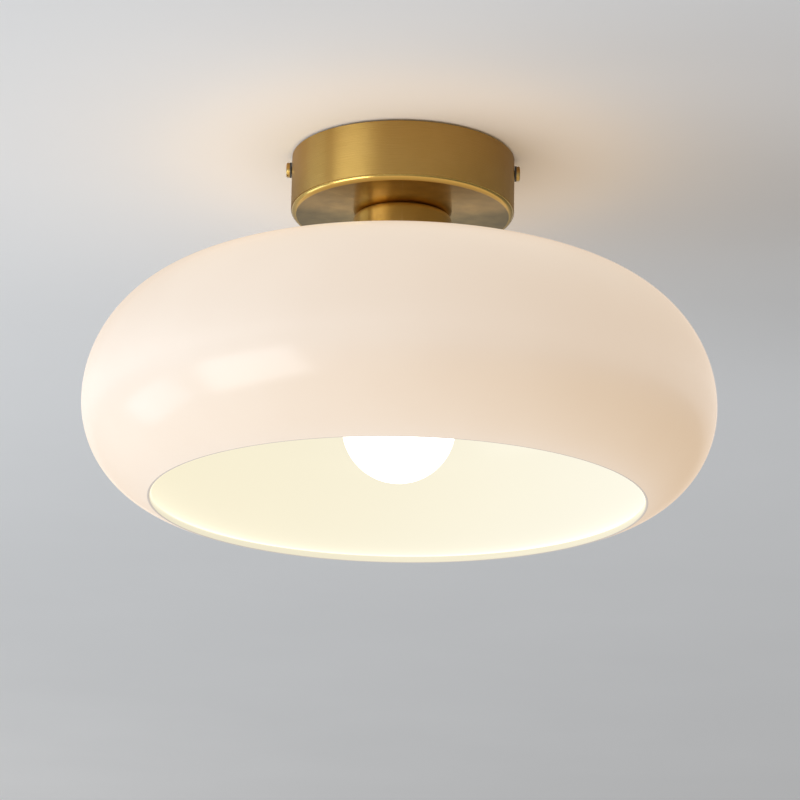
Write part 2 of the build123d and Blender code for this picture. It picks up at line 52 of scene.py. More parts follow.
LOG = logging.getLogger("ceiling_light")
MM = 0.001
FINE_TURN = 256
MEDIUM_TURN = 128
SMALL_TURN = 64
SHARP_ANGLE = math.radians(38)
ON_AXIS = 1e-7
GLOW_REACH = 0.25
NOISE_RANGE = (0.3, 0.7)

Point = tuple[float, float]
Colour = tuple[float, float, float]
Glow = tuple[tuple[float, Colour], ...]
Source = Union[bpy.types.NodeSocket, float, Sequence[float]]


class ShadeFace(Enum):
    """The faces of the glass shade, in the order of its material slots."""

    OUTER = 0
    EDGE = 1
    RIM = 2
    INNER = 3


class CupFace(Enum):
    """The faces of the canopy, in the order of its material slots."""

    WALL = 0
    EDGE = 1
    BASE = 2


class Drive(Enum):
    """The recess in a screw's head."""

    SLOT = "slot"
    CROSS = "cross"


class Side(Enum):
    """The two canopy screws, by their direction along X."""

    LEFT = -1
    RIGHT = 1


# Shapes

@dataclass(frozen=True)
class Thread:
    """A rounded right-hand thread cut into one turned face.

    Attributes:
        radius: Radius of the crests.
        pitch: Rise in one turn.
        depth: Depth of the groove.
        top: Upper end of the thread.
        bottom: Lower end of the thread.
    """

    radius: float
    pitch: float
    depth: float
    top: float
    bottom: float

    def groove(self, height: float, angle: float) -> float:
        """Work out how deep the groove is at one place.

        Args:
            height: Height of the place.
            angle: Angle of the place round the axis.

        Returns:
            The depth, which runs out to nothing at both ends.
        """
        run_out = min(1.0, (self.top - height) / self.pitch, (height - self.bottom) / self.pitch)
        wave = 0.5 - 0.5 * math.cos(math.tau * height / self.pitch - angle)
        return self.depth * wave * max(0.0, run_out)

    def bears(self, radius: float, height: float) -> bool:
        """Tell whether a point of the outline lies on the threaded face."""
        return abs(radius - self.radius) < ON_AXIS and self.bottom <= height <= self.top


@dataclass
class Outline:
    """Half of a turned section, as (radius, height) points, with a zone for each stretch."""

    points: list[Point] = field(default_factory=list)
    zones: list[int] = field(default_factory=list)

    def to(self, radius: float, height: float, zone: int = 0) -> "Outline":
        """Go straight to a point."""
        self.points.append((radius, height))
        self.zones.append(zone)
        return self

    def arc(self, centre: Point, radius: float, start: float, sweep: float, zone: int = 0,
            steps: int = 12) -> "Outline":
        """Follow an arc.

        Args:
            centre: Centre of the arc.
            radius: Its radius.
            start: Angle of its first point, in degrees from the outward direction.
            sweep: Angle that it covers, in degrees.
            zone: Face zone of the arc.
            steps: Number of chords.

        Returns:
            The outline itself.
        """
        for step in range(steps + 1):
            angle = math.radians(start + sweep * step / steps)
            self.to(centre[0] + radius * math.cos(angle), centre[1] + radius * math.sin(angle), zone)
        return self

    def bend(self, corner: Point, towards: Point, radius: float, zone: int = 0,
             steps: int = 8) -> "Outline":
        """Go to a corner and round it off.

        Args:
            corner: The sharp corner.
            towards: A point in the direction of the next stretch.
            radius: Radius of the rounding.
            zone: Face zone of the rounding.
            steps: Number of chords.

        Returns:
            The outline itself.
        """
        here, turn_at, aim = (Vector(p) for p in (self.points[-1], corner, towards))
        incoming = (turn_at - here).normalized()
        outgoing = (aim - turn_at).normalized()
        turn = incoming.angle_signed(outgoing)
        start = turn_at - incoming * radius * abs(math.tan(turn / 2))
        inward = Vector((incoming.y, -incoming.x)) * math.copysign(1, turn)
        centre = start + inward * radius
        for step in range(steps + 1):
            spoke = -inward * radius
            spoke.rotate(Matrix.Rotation(-turn * step / steps, 2))
            self.to(*(centre + spoke), zone)
        return self

    def screw(self, thread: Thread, zone: int = 0, steps: int = 10) -> "Outline":
        """Go down a threaded face in fractions of its pitch."""
        count = max(2, round((thread.top - thread.bottom) / thread.pitch * steps))
        for step in range(count + 1):
            self.to(thread.radius, thread.top + (thread.bottom - thread.top) * step / count, zone)
        return self


def turn(name: str, outline: Outline, segments: int = FINE_TURN,
         thread: Optional[Thread] = None) -> bpy.types.Object:
    """Turn a closed outline round the Z axis into a smooth mesh.

    Args:
        name: Name of the new piece.
        outline: The half section. A point on the axis becomes one vertex.
        segments: Number of steps round the axis.
        thread: Thread to cut into the outline's threaded face.

    Returns:
        The new object.
    """
    verts, rings = [], []
    for radius, height in outline.points:
        ring = []
        for step in range(1 if radius < ON_AXIS else segments):
            angle = math.tau * step / segments
            groove = thread.groove(height, angle) if thread and thread.bears(radius, height) else 0.0
            ring.append(len(verts))
            verts.append(((radius - groove) * math.cos(angle), (radius - groove) * math.sin(angle), height))
        rings.append(ring)
    faces, zones = [], []
    for index, ring in enumerate(rings):
        following = (index + 1) % len(rings)
        other = rings[following]
        if len(ring) == 1 and len(other) == 1:
            continue
        for step in range(segments):
            after = (step + 1) % segments
            loop = [ring[step % len(ring)], ring[after % len(ring)],
                    other[after % len(other)], other[step % len(other)]]
            faces.append(list(dict.fromkeys(loop)))
            zones.append(outline.zones[following])
    mesh = bpy.data.meshes.new(name)
    mesh.from_pydata(verts, [], faces)
    mesh.polygons.foreach_set("material_index", zones)
    return placed(name, mesh)


def placed(name: str, mesh: bpy.types.Mesh) -> bpy.types.Object:
    """Clean a mesh, shade it smooth between sharp edges and put it in the scene.

    Args:
        name: Name of the piece.
        mesh: Its mesh.

    Returns:
        The new object.
    """
    work = bmesh.new()
    work.from_mesh(mesh)
    bmesh.ops.remove_doubles(work, verts=work.verts, dist=ON_AXIS)
    bmesh.ops.recalc_face_normals(work, faces=work.faces)
    work.to_mesh(mesh)
    work.free()
    mesh.polygons.foreach_set("use_smooth", [True] * len(mesh.polygons))
    mesh.set_sharp_from_angle(angle=SHARP_ANGLE)
    return linked(name, mesh)


def linked(name: str, data: bpy.types.ID) -> bpy.types.Object:
    """Put a new object with its data in the scene."""
    made = bpy.data.objects.new(name, data)
    bpy.context.scene.collection.objects.link(made)
    return made


def block(size: Sequence[float], place: Matrix) -> bpy.types.Object:
    """Make a box that is only used to cut a recess.

    Args:
        size: Its three edge lengths.
        place: Where its middle stands.

    Returns:
        The cutter.
    """
    work = bmesh.new()
    bmesh.ops.create_cube(work, size=1.0, matrix=place @ Matrix.Diagonal((*size, 1.0)))
    mesh = bpy.data.meshes.new("cutter")
    work.to_mesh(mesh)
    work.free()
    return linked("cutter", mesh)


def cut(piece: bpy.types.Object, cutters: Sequence[bpy.types.Object]) -> None:
    """Cut recesses out of a piece and delete the cutters.

    Args:
        piece: The piece to cut.
        cutters: Closed meshes that are taken out of it.
    """
    for cutter in cutters:
        recess = piece.modifiers.new("recess", "BOOLEAN")
        recess.object = cutter
        recess.operation = "DIFFERENCE"
        recess.solver = "EXACT"
    graph = bpy.context.evaluated_depsgraph_get()
    carved = bpy.data.meshes.new_from_object(piece.evaluated_get(graph))
    piece.modifiers.clear()
    piece.data = carved
    carved.set_sharp_from_angle(angle=SHARP_ANGLE)
    for cutter in cutters:
        bpy.data.objects.remove(cutter)


def joined(name: str, piece: bpy.types.Object, places: Sequence[Matrix]) -> bpy.types.Object:
    """Repeat a piece's mesh at several places in one object.

    Args:
        name: Name of the joined piece.
        piece: The pattern, which is deleted.
        places: Where the copies stand.

    Returns:
        The joined object.
    """
    work = bmesh.new()
    for place in places:
        copy = piece.data.copy()
        copy.transform(place)
        work.from_mesh(copy)
        bpy.data.meshes.remove(copy)
    mesh = bpy.data.meshes.new(name)
    work.to_mesh(mesh)
    work.free()
    mesh.set_sharp_from_angle(angle=SHARP_ANGLE)
    bpy.data.objects.remove(piece)
    return linked(name, mesh)


# Node trees and shared effects

class Graph:
    """Short ways to add and join nodes in one node tree."""

    def __init__(self, tree: bpy.types.NodeTree) -> None:
        """Work on a node tree."""
        self.tree = tree

    def node(self, kind: str, **settings: object) -> bpy.types.Node:
        """Add a node and set its attributes by name."""
        made = self.tree.nodes.new(kind)
        for key, value in settings.items():
            setattr(made, key, value)
        return made

    def feed(self, socket: bpy.types.NodeSocket, source: Source) -> None:
        """Link a socket to another, or set its value."""
        if isinstance(source, bpy.types.NodeSocket):
            self.tree.links.new(source, socket)
        else:
            socket.default_value = source

    def maths(self, operation: str, first: Source, second: Source = 0.0) -> bpy.types.NodeSocket:
        """Add a Math node on two values."""
        made = self.node("ShaderNodeMath", operation=operation)
        self.feed(made.inputs[0], first)
        self.feed(made.inputs[1], second)
        return made.outputs[0]

    def spread(self, value: Source, low: Source, high: Source, start: float = 0.0,
               end: float = 1.0) -> bpy.types.NodeSocket:
        """Map a value from start..end to low..high, held at both ends."""
        made = self.node("ShaderNodeMapRange")
        for socket, source in zip(made.inputs, (value, start, end, low, high)):
            self.feed(socket, source)
        return made.outputs[0]

    def mix(self, share: Source, low: Source, high: Source) -> bpy.types.NodeSocket:
        """Mix two colours by a share."""
        made = self.node("ShaderNodeMix", data_type="RGBA")
        self.feed(made.inputs[0], share)
        self.feed(made.inputs[6], (*low, 1.0) if isinstance(low, tuple) else low)
        self.feed(made.inputs[7], (*high, 1.0) if isinstance(high, tuple) else high)
        return made.outputs[2]

    def noise(self, vector: Source, scale: Source, detail: float = 2.0,
              dimensions: str = "3D") -> bpy.types.NodeSocket:
        """Add a noise value between 0 and 1."""
        made = self.node("ShaderNodeTexNoise", noise_dimensions=dimensions)
        self.feed(made.inputs["Vector"], vector)
        self.feed(made.inputs["Scale"], scale)
        made.inputs["Detail"].default_value = detail
        return made.outputs["Fac"]

    def glow(self, share: Source, stops: Glow) -> bpy.types.NodeSocket:
        """Colour a share of the glow's reach by stops at distances from the lamp."""
        made = self.node("ShaderNodeValToRGB")
        made.color_ramp.interpolation = "CARDINAL"
        while len(made.color_ramp.elements) < len(stops):
            made.color_ramp.elements.new(0.5)
        for element, (distance, colour) in zip(made.color_ramp.elements, stops):
            element.position = distance / GLOW_REACH
            element.color = (*colour, 1.0)
        self.feed(made.inputs[0], share)
        return made.outputs[0]

    def place(self) -> bpy.types.NodeSocket:
        """Give the object's own coordinates, in metres."""
        return self.node("ShaderNodeTexCoord").outputs["Object"]

    def effect(self, tree: bpy.types.NodeTree, **values: float) -> bpy.types.Node:
        """Place a shared effect with its own values."""
        made = self.node("ShaderNodeGroup", node_tree=tree)
        for key, value in values.items():
            self.feed(made.inputs[key], value)
        return made

    def bump(self, height: Source, distance: float, strength: float) -> bpy.types.NodeSocket:
        """Turn a height into a normal."""
        made = self.node("ShaderNodeBump")
        self.feed(made.inputs["Height"], height)
        made.inputs["Distance"].default_value = distance
        made.inputs["Strength"].default_value = strength
        return made.outputs["Normal"]


class Effects:
    """Shared effects, each a node group that is built once."""

    _made: dict[str, bpy.types.NodeTree] = {}

    @classmethod
    def _start(cls, name: str, inputs: dict[str, float], outputs: Sequence[str]
               ) -> tuple[Graph, bpy.types.Node, bpy.types.Node]:
        """Start a group with named float sockets.

        Args:
            name: Name of the effect.
            inputs: Input names with their default values.
            outputs: Output names.

        Returns:
            The group's graph, its input node and its output node.
        """
        tree = bpy.data.node_groups.new(name, "ShaderNodeTree")
        for key, value in inputs.items():
            socket = tree.interface.new_socket(key, in_out="INPUT", socket_type="NodeSocketFloat")
            socket.default_value = value
        for key in outputs:
            tree.interface.new_socket(key, in_out="OUTPUT", socket_type="NodeSocketFloat")
        graph = Graph(tree)
        cls._made[name] = tree
        return graph, graph.node("NodeGroupInput"), graph.node("NodeGroupOutput")

    @classmethod
    def turned_lines(cls) -> bpy.types.NodeTree:
        """Fine lines left by turning: they run round the axis, on walls and on flat faces.

        Returns:
            The group, with the lines' Fineness and their Waver round the axis in, Lines out.
        """
        if "turned lines" not in cls._made:
            graph, given, out = cls._start("turned lines", {"Fineness": 2500.0, "Waver": 3.0}, ["Lines"])
            parts = graph.node("ShaderNodeSeparateXYZ")
            graph.feed(parts.inputs[0], graph.place())
            x, y, z = parts.outputs
            across = graph.maths("SQRT", graph.maths("ADD", graph.maths("MULTIPLY", x, x),
                                                     graph.maths("MULTIPLY", y, y)))
            along = graph.maths("MULTIPLY", graph.maths("ADD", across, z), given.outputs["Fineness"])
            round_axis = graph.maths("MULTIPLY", graph.maths("ARCTAN2", y, x), given.outputs["Waver"])
            grid = graph.node("ShaderNodeCombineXYZ")
            graph.feed(grid.inputs[0], along)
            graph.feed(grid.inputs[1], round_axis)
            graph.feed(out.inputs["Lines"], graph.noise(grid.outputs[0], 1.0, 3.0, "2D"))
        return cls._made["turned lines"]

    @classmethod
    def cloud(cls) -> bpy.types.NodeTree:
        """Soft uneven patches.

        Returns:
            The group, with Scale in, Value out.
        """
        if "cloud" not in cls._made:
            graph, given, out = cls._start("cloud", {"Scale": 30.0}, ["Value"])
            patches = graph.noise(graph.place(), given.outputs["Scale"], 3.0)
            graph.feed(out.inputs["Value"], graph.spread(patches, 0.0, 1.0, *NOISE_RANGE))
        return cls._made["cloud"]

    @classmethod
    def edge_wear(cls) -> bpy.types.NodeTree:
        """A mask of the outer edges, which handling and polishing brighten.

        Returns:
            The group, with the wear's Reach and Patchiness in, Mask out.
        """
        if "edge wear" not in cls._made:
            graph, given, out = cls._start("edge wear", {"Reach": 0.08, "Patchiness": 90.0}, ["Mask"])
            sharpness = graph.node("ShaderNodeNewGeometry").outputs["Pointiness"]
            above = graph.maths("SUBTRACT", sharpness, 0.5)
            edge = graph.maths("DIVIDE", above, given.outputs["Reach"])
            uneven = graph.noise(graph.place(), given.outputs["Patchiness"])
            patches = graph.spread(uneven, 0.5, 1.0, *NOISE_RANGE)
            held = graph.node("ShaderNodeClamp")
            graph.feed(held.inputs[0], graph.maths("MULTIPLY", edge, patches))
            graph.feed(out.inputs["Mask"], held.outputs[0])
        return cls._made["edge wear"]

    @classmethod
    def lamp_distance(cls) -> bpy.types.NodeTree:
        """How far a place is from a centre on or beside the lit globe, which sets a glow.

        Returns:
            The group, with the centre's Height, its Lean to one side and the Reach in, Share of the
            reach out.
        """
        if "lamp distance" not in cls._made:
            inputs = {"Height": -0.15, "Lean": 0.0, "Reach": GLOW_REACH}
            graph, given, out = cls._start("lamp distance", inputs, ["Share"])
            lamp = graph.node("ShaderNodeCombineXYZ")
            graph.feed(lamp.inputs[0], given.outputs["Lean"])
            graph.feed(lamp.inputs[2], given.outputs["Height"])
            gap = graph.node("ShaderNodeVectorMath", operation="DISTANCE")
            graph.feed(gap.inputs[0], graph.place())
            graph.feed(gap.inputs[1], lamp.outputs[0])
            share = graph.maths("DIVIDE", gap.outputs["Value"], given.outputs["Reach"])
            graph.feed(out.inputs["Share"], share)
        return cls._made["lamp distance"]


class Surface:
    """One material: its graph, its main shader and its output."""

    def __init__(self, name: str) -> None:
        """Start a material with one main shader.

        Args:
            name: Name of the material.
        """
        self.material = bpy.data.materials.new(name)
        self.material.use_nodes = True
        self.graph = Graph(self.material.node_tree)
        self.shader = self.material.node_tree.nodes["Principled BSDF"]

    def put(self, **sources: Source) -> None:
        """Set or link the shader's sockets, with underscores for spaces in their names."""
        for key, source in sources.items():
            if isinstance(source, tuple) and len(source) == 3:
                source = (*source, 1.0)
            self.graph.feed(self.shader.inputs[key.replace("_", " ")], source)

    def cloud(self, scale: float) -> bpy.types.NodeSocket:
        """Place the shared patches at a scale."""
        return self.graph.effect(Effects.cloud(), Scale=scale).outputs["Value"]

    def wear(self, reach: float, patchiness: float) -> bpy.types.NodeSocket:
        """Place the shared mask of worn edges."""
        return self.graph.effect(Effects.edge_wear(), Reach=reach, Patchiness=patchiness).outputs["Mask"]

    def lamp_share(self, height: float, lean: float = 0.0) -> bpy.types.NodeSocket:
        """Place the shared distance from the lamp."""
        return self.graph.effect(Effects.lamp_distance(), Height=height, Lean=lean).outputs["Share"]


# Finishes

class Finish:
    """A finish, whose material is built once and shared by every piece that wears it."""

    _made: dict["Finish", bpy.types.Material] = {}

    def build(self) -> bpy.types.Material:
        """Build the material."""
        raise NotImplementedError

    def material(self) -> bpy.types.Material:
        """Give the material, which is built at its first use."""
        if self not in self._made:
            self._made[self] = self.build()
        return self._made[self]


@dataclass(frozen=True)
class SatinBrass(Finish):
    """Turned and lacquered brass, whose lines run round the axis and stretch reflections across them."""

    name: str = "satin_brass"
    colour: Colour = (0.875, 0.59, 0.15)
    shadow: Colour = (0.765, 0.50, 0.112)
    worn: Colour = (0.88, 0.62, 0.22)
    smoothest: float = 0.31
    roughest: float = 0.37
    stretch: float = 1.0
    fineness: float = 2600.0
    line_depth: float = 0.13 * MM
    lacquer: tuple[float, float] = (0.80, 1.0)
    lacquer_roughness: float = 0.44
    waver: float = 4.0
    patches: float = 45.0
    line_share: float = 0.7
    wear_reach: float = 0.10
    wear_patches: float = 120.0
    quarter_turn: float = 0.25

    def build(self) -> bpy.types.Material:
        """Build the material.

        Returns:
            The finished brass.
        """
        surface = Surface(self.name)
        graph = surface.graph
        turned = graph.effect(Effects.turned_lines(), Fineness=self.fineness, Waver=self.waver)
        lines = turned.outputs["Lines"]
        cloud = surface.cloud(self.patches)
        wear = surface.wear(self.wear_reach, self.wear_patches)
        tone = graph.maths("ADD", graph.maths("MULTIPLY", lines, self.line_share),
                           graph.maths("MULTIPLY", cloud, 1 - self.line_share))
        body = graph.mix(tone, self.shadow, self.colour)
        tangent = graph.node("ShaderNodeTangent", direction_type="RADIAL", axis="Z")
        surface.put(
            Base_Color=graph.mix(wear, body, self.worn),
            Roughness=graph.spread(tone, self.smoothest, self.roughest),
            Metallic=1.0,
            Anisotropic=self.stretch,
            Anisotropic_Rotation=self.quarter_turn,
            Tangent=tangent.outputs[0],
            Coat_Weight=graph.spread(cloud, *self.lacquer),
            Coat_Roughness=self.lacquer_roughness,
            Normal=graph.bump(lines, self.line_depth, 1.0),
        )
        return surface.material


@dataclass(frozen=True)
class OpalGlass(Finish):
    """Cased opal glass with the lamp's light through it painted on: a glossy face with a painted glow, set
    by the distance from a glow centre.
    """

    name: str
    colour: Colour
    stops: Glow
    smoothest: float = 0.16
    roughest: float = 0.22
    glow_height: float = -0.15
    lean: float = 0.0
    gloss: float = 0.5
    ripple: float = 0.15 * MM
    ripple_strength: float = 0.5
    haze: float = 26.0
    waves: float = 9.0
    paling: float = 1.04
    refraction: float = 1.46

    def build(self) -> bpy.types.Material:
        """Build the material.

        Returns:
            The finished glass.
        """
        surface = Surface(self.name)
        graph = surface.graph
        haze = surface.cloud(self.haze)
        waves = surface.cloud(self.waves)
        share = surface.lamp_share(self.glow_height, self.lean)
        paler = tuple(min(1.0, channel * self.paling) for channel in self.colour)
        surface.put(
            Base_Color=graph.mix(haze, self.colour, paler),
            Roughness=graph.spread(haze, self.smoothest, self.roughest),
            IOR=self.refraction,
            Specular_IOR_Level=self.gloss,
            # Painted glow: the emission stands in for the light of the lamp inside.
            Emission_Color=graph.glow(share, self.stops),
            Emission_Strength=1.0,
            Normal=graph.bump(waves, self.ripple, self.ripple_strength),
        )
        return surface.material


@dataclass(frozen=True)
class LitDiffuser(Finish):
    """The lamp's opal globe, lit all over and a little warmer at its edge."""

    name: str = "lamp_opal"
    colour: Colour = (0.93, 0.91, 0.87)
    paler: Colour = (0.96, 0.945, 0.91)
    stops: Glow = ((0.012, (1.0, 0.985, 0.95)), (0.045, (1.0, 0.95, 0.84)))
    strength: float = 2.0
    middle: float = -0.168
    smoothest: float = 0.28
    roughest: float = 0.36
    grain: float = 900.0

    def build(self) -> bpy.types.Material:
        """Build the material.

        Returns:
            The lit globe.
        """
        surface = Surface(self.name)
        graph = surface.graph
        grain = surface.cloud(self.grain)
        share = surface.lamp_share(self.middle)
        surface.put(
            Base_Color=graph.mix(grain, self.colour, self.paler),
            Roughness=graph.spread(grain, self.smoothest, self.roughest),
            Emission_Color=graph.glow(share, self.stops),
            Emission_Strength=self.strength,
        )
        return surface.material


@dataclass(frozen=True)
class Moulded(Finish):
    """Moulded plastic, ceramic or rubber: a fine grain, uneven tone and edges rubbed a little paler."""

    name: str
    colour: Colour
    smoothest: float = 0.32
    roughest: float = 0.45
    grain: float = 1800.0
    relief: float = 0.02 * MM
    relief_strength: float = 0.4
    unevenness: float = 0.06
    patches: float = 60.0
    rubbed: float = 0.12
    wear_reach: float = 0.2
    wear_patches: float = 300.0

    def build(self) -> bpy.types.Material:
        """Build the material.

        Returns:
            The finished moulding.
        """
        surface = Surface(self.name)
        graph = surface.graph
        grain = surface.cloud(self.grain)
        tone = surface.cloud(self.patches)
        wear = surface.wear(self.wear_reach, self.wear_patches)
        darker = tuple(channel * (1 - self.unevenness) for channel in self.colour)
        paler = tuple(min(1.0, channel + self.rubbed * (1 - channel)) for channel in self.colour)
        surface.put(
            Base_Color=graph.mix(wear, graph.mix(tone, darker, self.colour), paler),
            Roughness=graph.spread(grain, self.smoothest, self.roughest),
            Normal=graph.bump(grain, self.relief, self.relief_strength),
        )
        return surface.material


@dataclass(frozen=True)
class Plated(Finish):
    """Plated or bare metal with a patchy sheen, fine scratches and brighter edges."""

    name: str
    colour: Colour
    shadow: Colour
    bright: Colour
    smoothest: float = 0.24
    roughest: float = 0.42
    patches: float = 140.0
    scratches: float = 2400.0
    scratch_depth: float = 0.01 * MM
    scratch_strength: float = 0.3
    wear_reach: float = 0.15
    wear_patches: float = 200.0

    def build(self) -> bpy.types.Material:
        """Build the material.

        Returns:
            The finished metal.
        """
        surface = Surface(self.name)
        graph = surface.graph
        sheen = surface.cloud(self.patches)
        scratch = surface.cloud(self.scratches)
        wear = surface.wear(self.wear_reach, self.wear_patches)
        surface.put(
            Base_Color=graph.mix(wear, graph.mix(sheen, self.shadow, self.colour), self.bright),
            Roughness=graph.spread(sheen, self.smoothest, self.roughest),
            Metallic=1.0,
            Normal=graph.bump(scratch, self.scratch_depth, self.scratch_strength),
        )
        return surface.material


@dataclass(frozen=True)
class Sleeve(Finish):
    """The plastic sleeve of a lead, plain or with a stripe that winds round it."""

    name: str
    colour: Colour
    stripe: Optional[Colour] = None
    stripe_pitch: float = 260.0
    stripe_edge: tuple[float, float] = (0.42, 0.58)
    shade: float = 0.86
    patches: float = 400.0
    smoothest: float = 0.34
    roughest: float = 0.46
    relief: float = 0.03 * MM
    relief_strength: float = 0.3

    def build(self) -> bpy.types.Material:
        """Build the material.

        Returns:
            The finished sleeve.
        """
        surface = Surface(self.name)
        graph = surface.graph
        tone = surface.cloud(self.patches)
        darker = tuple(channel * self.shade for channel in self.colour)
        body = graph.mix(tone, darker, self.colour)
        if self.stripe:
            band = graph.node("ShaderNodeTexWave", wave_type="BANDS", bands_direction="DIAGONAL")
            graph.feed(band.inputs["Vector"], graph.place())
            band.inputs["Scale"].default_value = self.stripe_pitch
            share = graph.spread(band.outputs["Fac"], 0.0, 1.0, *self.stripe_edge)
            body = graph.mix(share, body, self.stripe)
        surface.put(
            Base_Color=body,
            Roughness=graph.spread(tone, self.smoothest, self.roughest),
            Normal=graph.bump(tone, self.relief, self.relief_strength),
        )
        return surface.material


ZINC = Plated("zinc_steel", (0.62, 0.63, 0.65), (0.47, 0.48, 0.50), (0.78, 0.79, 0.80))
NICKEL = Plated("nickel_shell", (0.66, 0.64, 0.60), (0.55, 0.53, 0.49), (0.80, 0.78, 0.74), 0.14, 0.26)
BRIGHT_BRASS = Plated("terminal_brass", (0.72, 0.50, 0.20), (0.60, 0.39, 0.13), (0.86, 0.66, 0.32))
TINNED = Plated("tinned_copper", (0.64, 0.63, 0.61), (0.52, 0.51, 0.49), (0.78, 0.77, 0.75), 0.2, 0.36)
GREEN_PASSIVATED = Plated("earth_green", (0.10, 0.30, 0.12), (0.06, 0.22, 0.08), (0.36, 0.46, 0.34))
BRUSHED_BRASS = SatinBrass("satin_brass")
# The canopy's underside: smoother brass whose colour is painted far darker than the wall's. This is painted
# shade for the dim things it reflects.
POLISHED_BRASS_SHADE_PAINTED = SatinBrass(
    "polished_brass_shade_painted", colour=(0.262, 0.176, 0.057), shadow=(0.237, 0.157, 0.049), stretch=0.3,
    smoothest=0.11, roughest=0.15, line_depth=0.005 * MM, lacquer=(0.2, 0.3), lacquer_roughness=0.18)
# The bend at the canopy's lower edge: smoother brass, with its colour painted a little brighter than the
# wall's as a painted highlight.
EDGE_BRASS_HIGHLIGHT_PAINTED = SatinBrass(
    "edge_brass_highlight_painted", colour=(0.95, 0.62, 0.16), shadow=(0.88, 0.56, 0.125), stretch=0.2, smoothest=0.16,
    roughest=0.22, line_depth=0.01 * MM, lacquer=(0.2, 0.3), lacquer_roughness=0.20)
NECK_BRASS = SatinBrass(
    "neck_brass", colour=(0.77, 0.46, 0.088), shadow=(0.675, 0.385, 0.068), smoothest=0.29, roughest=0.35,
    lacquer_roughness=0.28)
SCREW_BRASS = SatinBrass("screw_brass", fineness=5200.0, stretch=0.6, smoothest=0.26, roughest=0.36)
WHITE_PHENOLIC = Moulded("holder_white", (0.80, 0.78, 0.73))
NYLON = Moulded("block_nylon", (0.74, 0.72, 0.64), 0.30, 0.40)
CERAMIC = Moulded("holder_ceramic", (0.78, 0.75, 0.68), 0.55, 0.70, 900.0)
RUBBER = Moulded("dark_rubber", (0.030, 0.027, 0.024), 0.60, 0.75, 1200.0)
SILICONE = Moulded("clear_silicone", (0.66, 0.64, 0.60), 0.26, 0.34)
BLACK_GLASS = Moulded("lamp_black", (0.022, 0.022, 0.025), 0.08, 0.16)
LAMP_WHITE = Moulded("lamp_white", (0.82, 0.81, 0.78))
BOARD_WHITE = Moulded("board_white", (0.80, 0.80, 0.78), 0.30, 0.38)
PHOSPHOR = Moulded("led_yellow", (0.84, 0.62, 0.10), 0.22, 0.30)
DRIVER_GREEN = Moulded("driver_green", (0.05, 0.20, 0.09), 0.30, 0.42)
# Painted glow on the outer face, weaker round the neck. That is painted shade of the lampholder, and it
# also darkens the crown where it is mirrored in the canopy's underside.
OUTER_OPAL = OpalGlass(
    "opal_outer_painted_glow", (0.50, 0.55, 0.57),
    stops=((0.043, (0.265, 0.20, 0.143)), (0.075, (0.318, 0.237, 0.172)), (0.105, (0.41, 0.305, 0.213)),
           (0.125, (0.515, 0.385, 0.264)), (0.145, (0.626, 0.491, 0.363)), (0.180, (0.61, 0.46, 0.325)),
           (0.2065, (0.573, 0.41, 0.268)), (0.2125, (0.552, 0.366, 0.20))),
    glow_height=-0.03, smoothest=0.19, roughest=0.24)
# Painted glow on the rim and its outer round, standing in for lamp light that comes out through the glass
# edge.
EDGE_OPAL = OpalGlass(
    "opal_edge_painted_glow", (0.48, 0.48, 0.47), stops=((0.10, (0.32, 0.25, 0.19)), (0.20, (0.30, 0.235, 0.175))))
RIM_OPAL = OpalGlass(
    "opal_rim_painted_glow", (0.14, 0.135, 0.12), gloss=0.1,
    stops=((0.06, (0.79, 0.74, 0.57)), (0.22, (0.775, 0.70, 0.51))))
# Painted glow on the lit inside. Its centre lies 70 mm towards +X, so the right of the inside is painted
# brighter, as daylight from the left would light it.
INNER_OPAL = OpalGlass(
    "opal_inner_painted_glow", (0.13, 0.12, 0.10), lean=0.07, gloss=0.1,
    stops=((0.06, (0.835, 0.825, 0.745)), (0.22, (0.825, 0.765, 0.58))))
LIT_GLOBE = LitDiffuser()
LIVE_BROWN = Sleeve("live_brown", (0.11, 0.045, 0.02))
NEUTRAL_BLUE = Sleeve("neutral_blue", (0.03, 0.12, 0.36))
EARTH_STRIPED = Sleeve("earth_striped", (0.05, 0.26, 0.06), stripe=(0.72, 0.62, 0.05))


# Sub-assemblies

class SubAssembly:
    """Pieces of the light that are built and dressed together."""

    def build(self) -> None:
        """Build the meshes."""

    def dress(self) -> None:
        """Give every piece its finish."""

    @staticmethod
    def seat(piece: bpy.types.Object, finishes: Sequence[Finish], body: str, slot: str,
             *nodes: str) -> None:
        """Finish a piece and put it on its body, in the place of its CAD nodes.

        Args:
            piece: The piece.
            finishes: Finishes that it still needs, in the order of its material slots.
            body: The CAD body that carries it.
            slot: The record's material slot; not used.
            nodes: The CAD nodes that it stands for.
        """
        for finish in finishes:
            piece.data.materials.append(finish.material())
        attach(piece, body)
        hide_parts(*nodes)
        LOG.info("%s rides on %s for %s", piece.name, body, ", ".join(nodes))

    @staticmethod
    def finish_nodes(finish: Finish, *nodes: str) -> None:
        """Give CAD nodes that keep their shape a finish.

        Args:
            finish: The finish.
            nodes: Names of the nodes.
        """
        material = finish.material()
        for node in nodes:
            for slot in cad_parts[node].material_slots:
                slot.material = material
            LOG.info("%s keeps its shape, in %s", node, material.name)


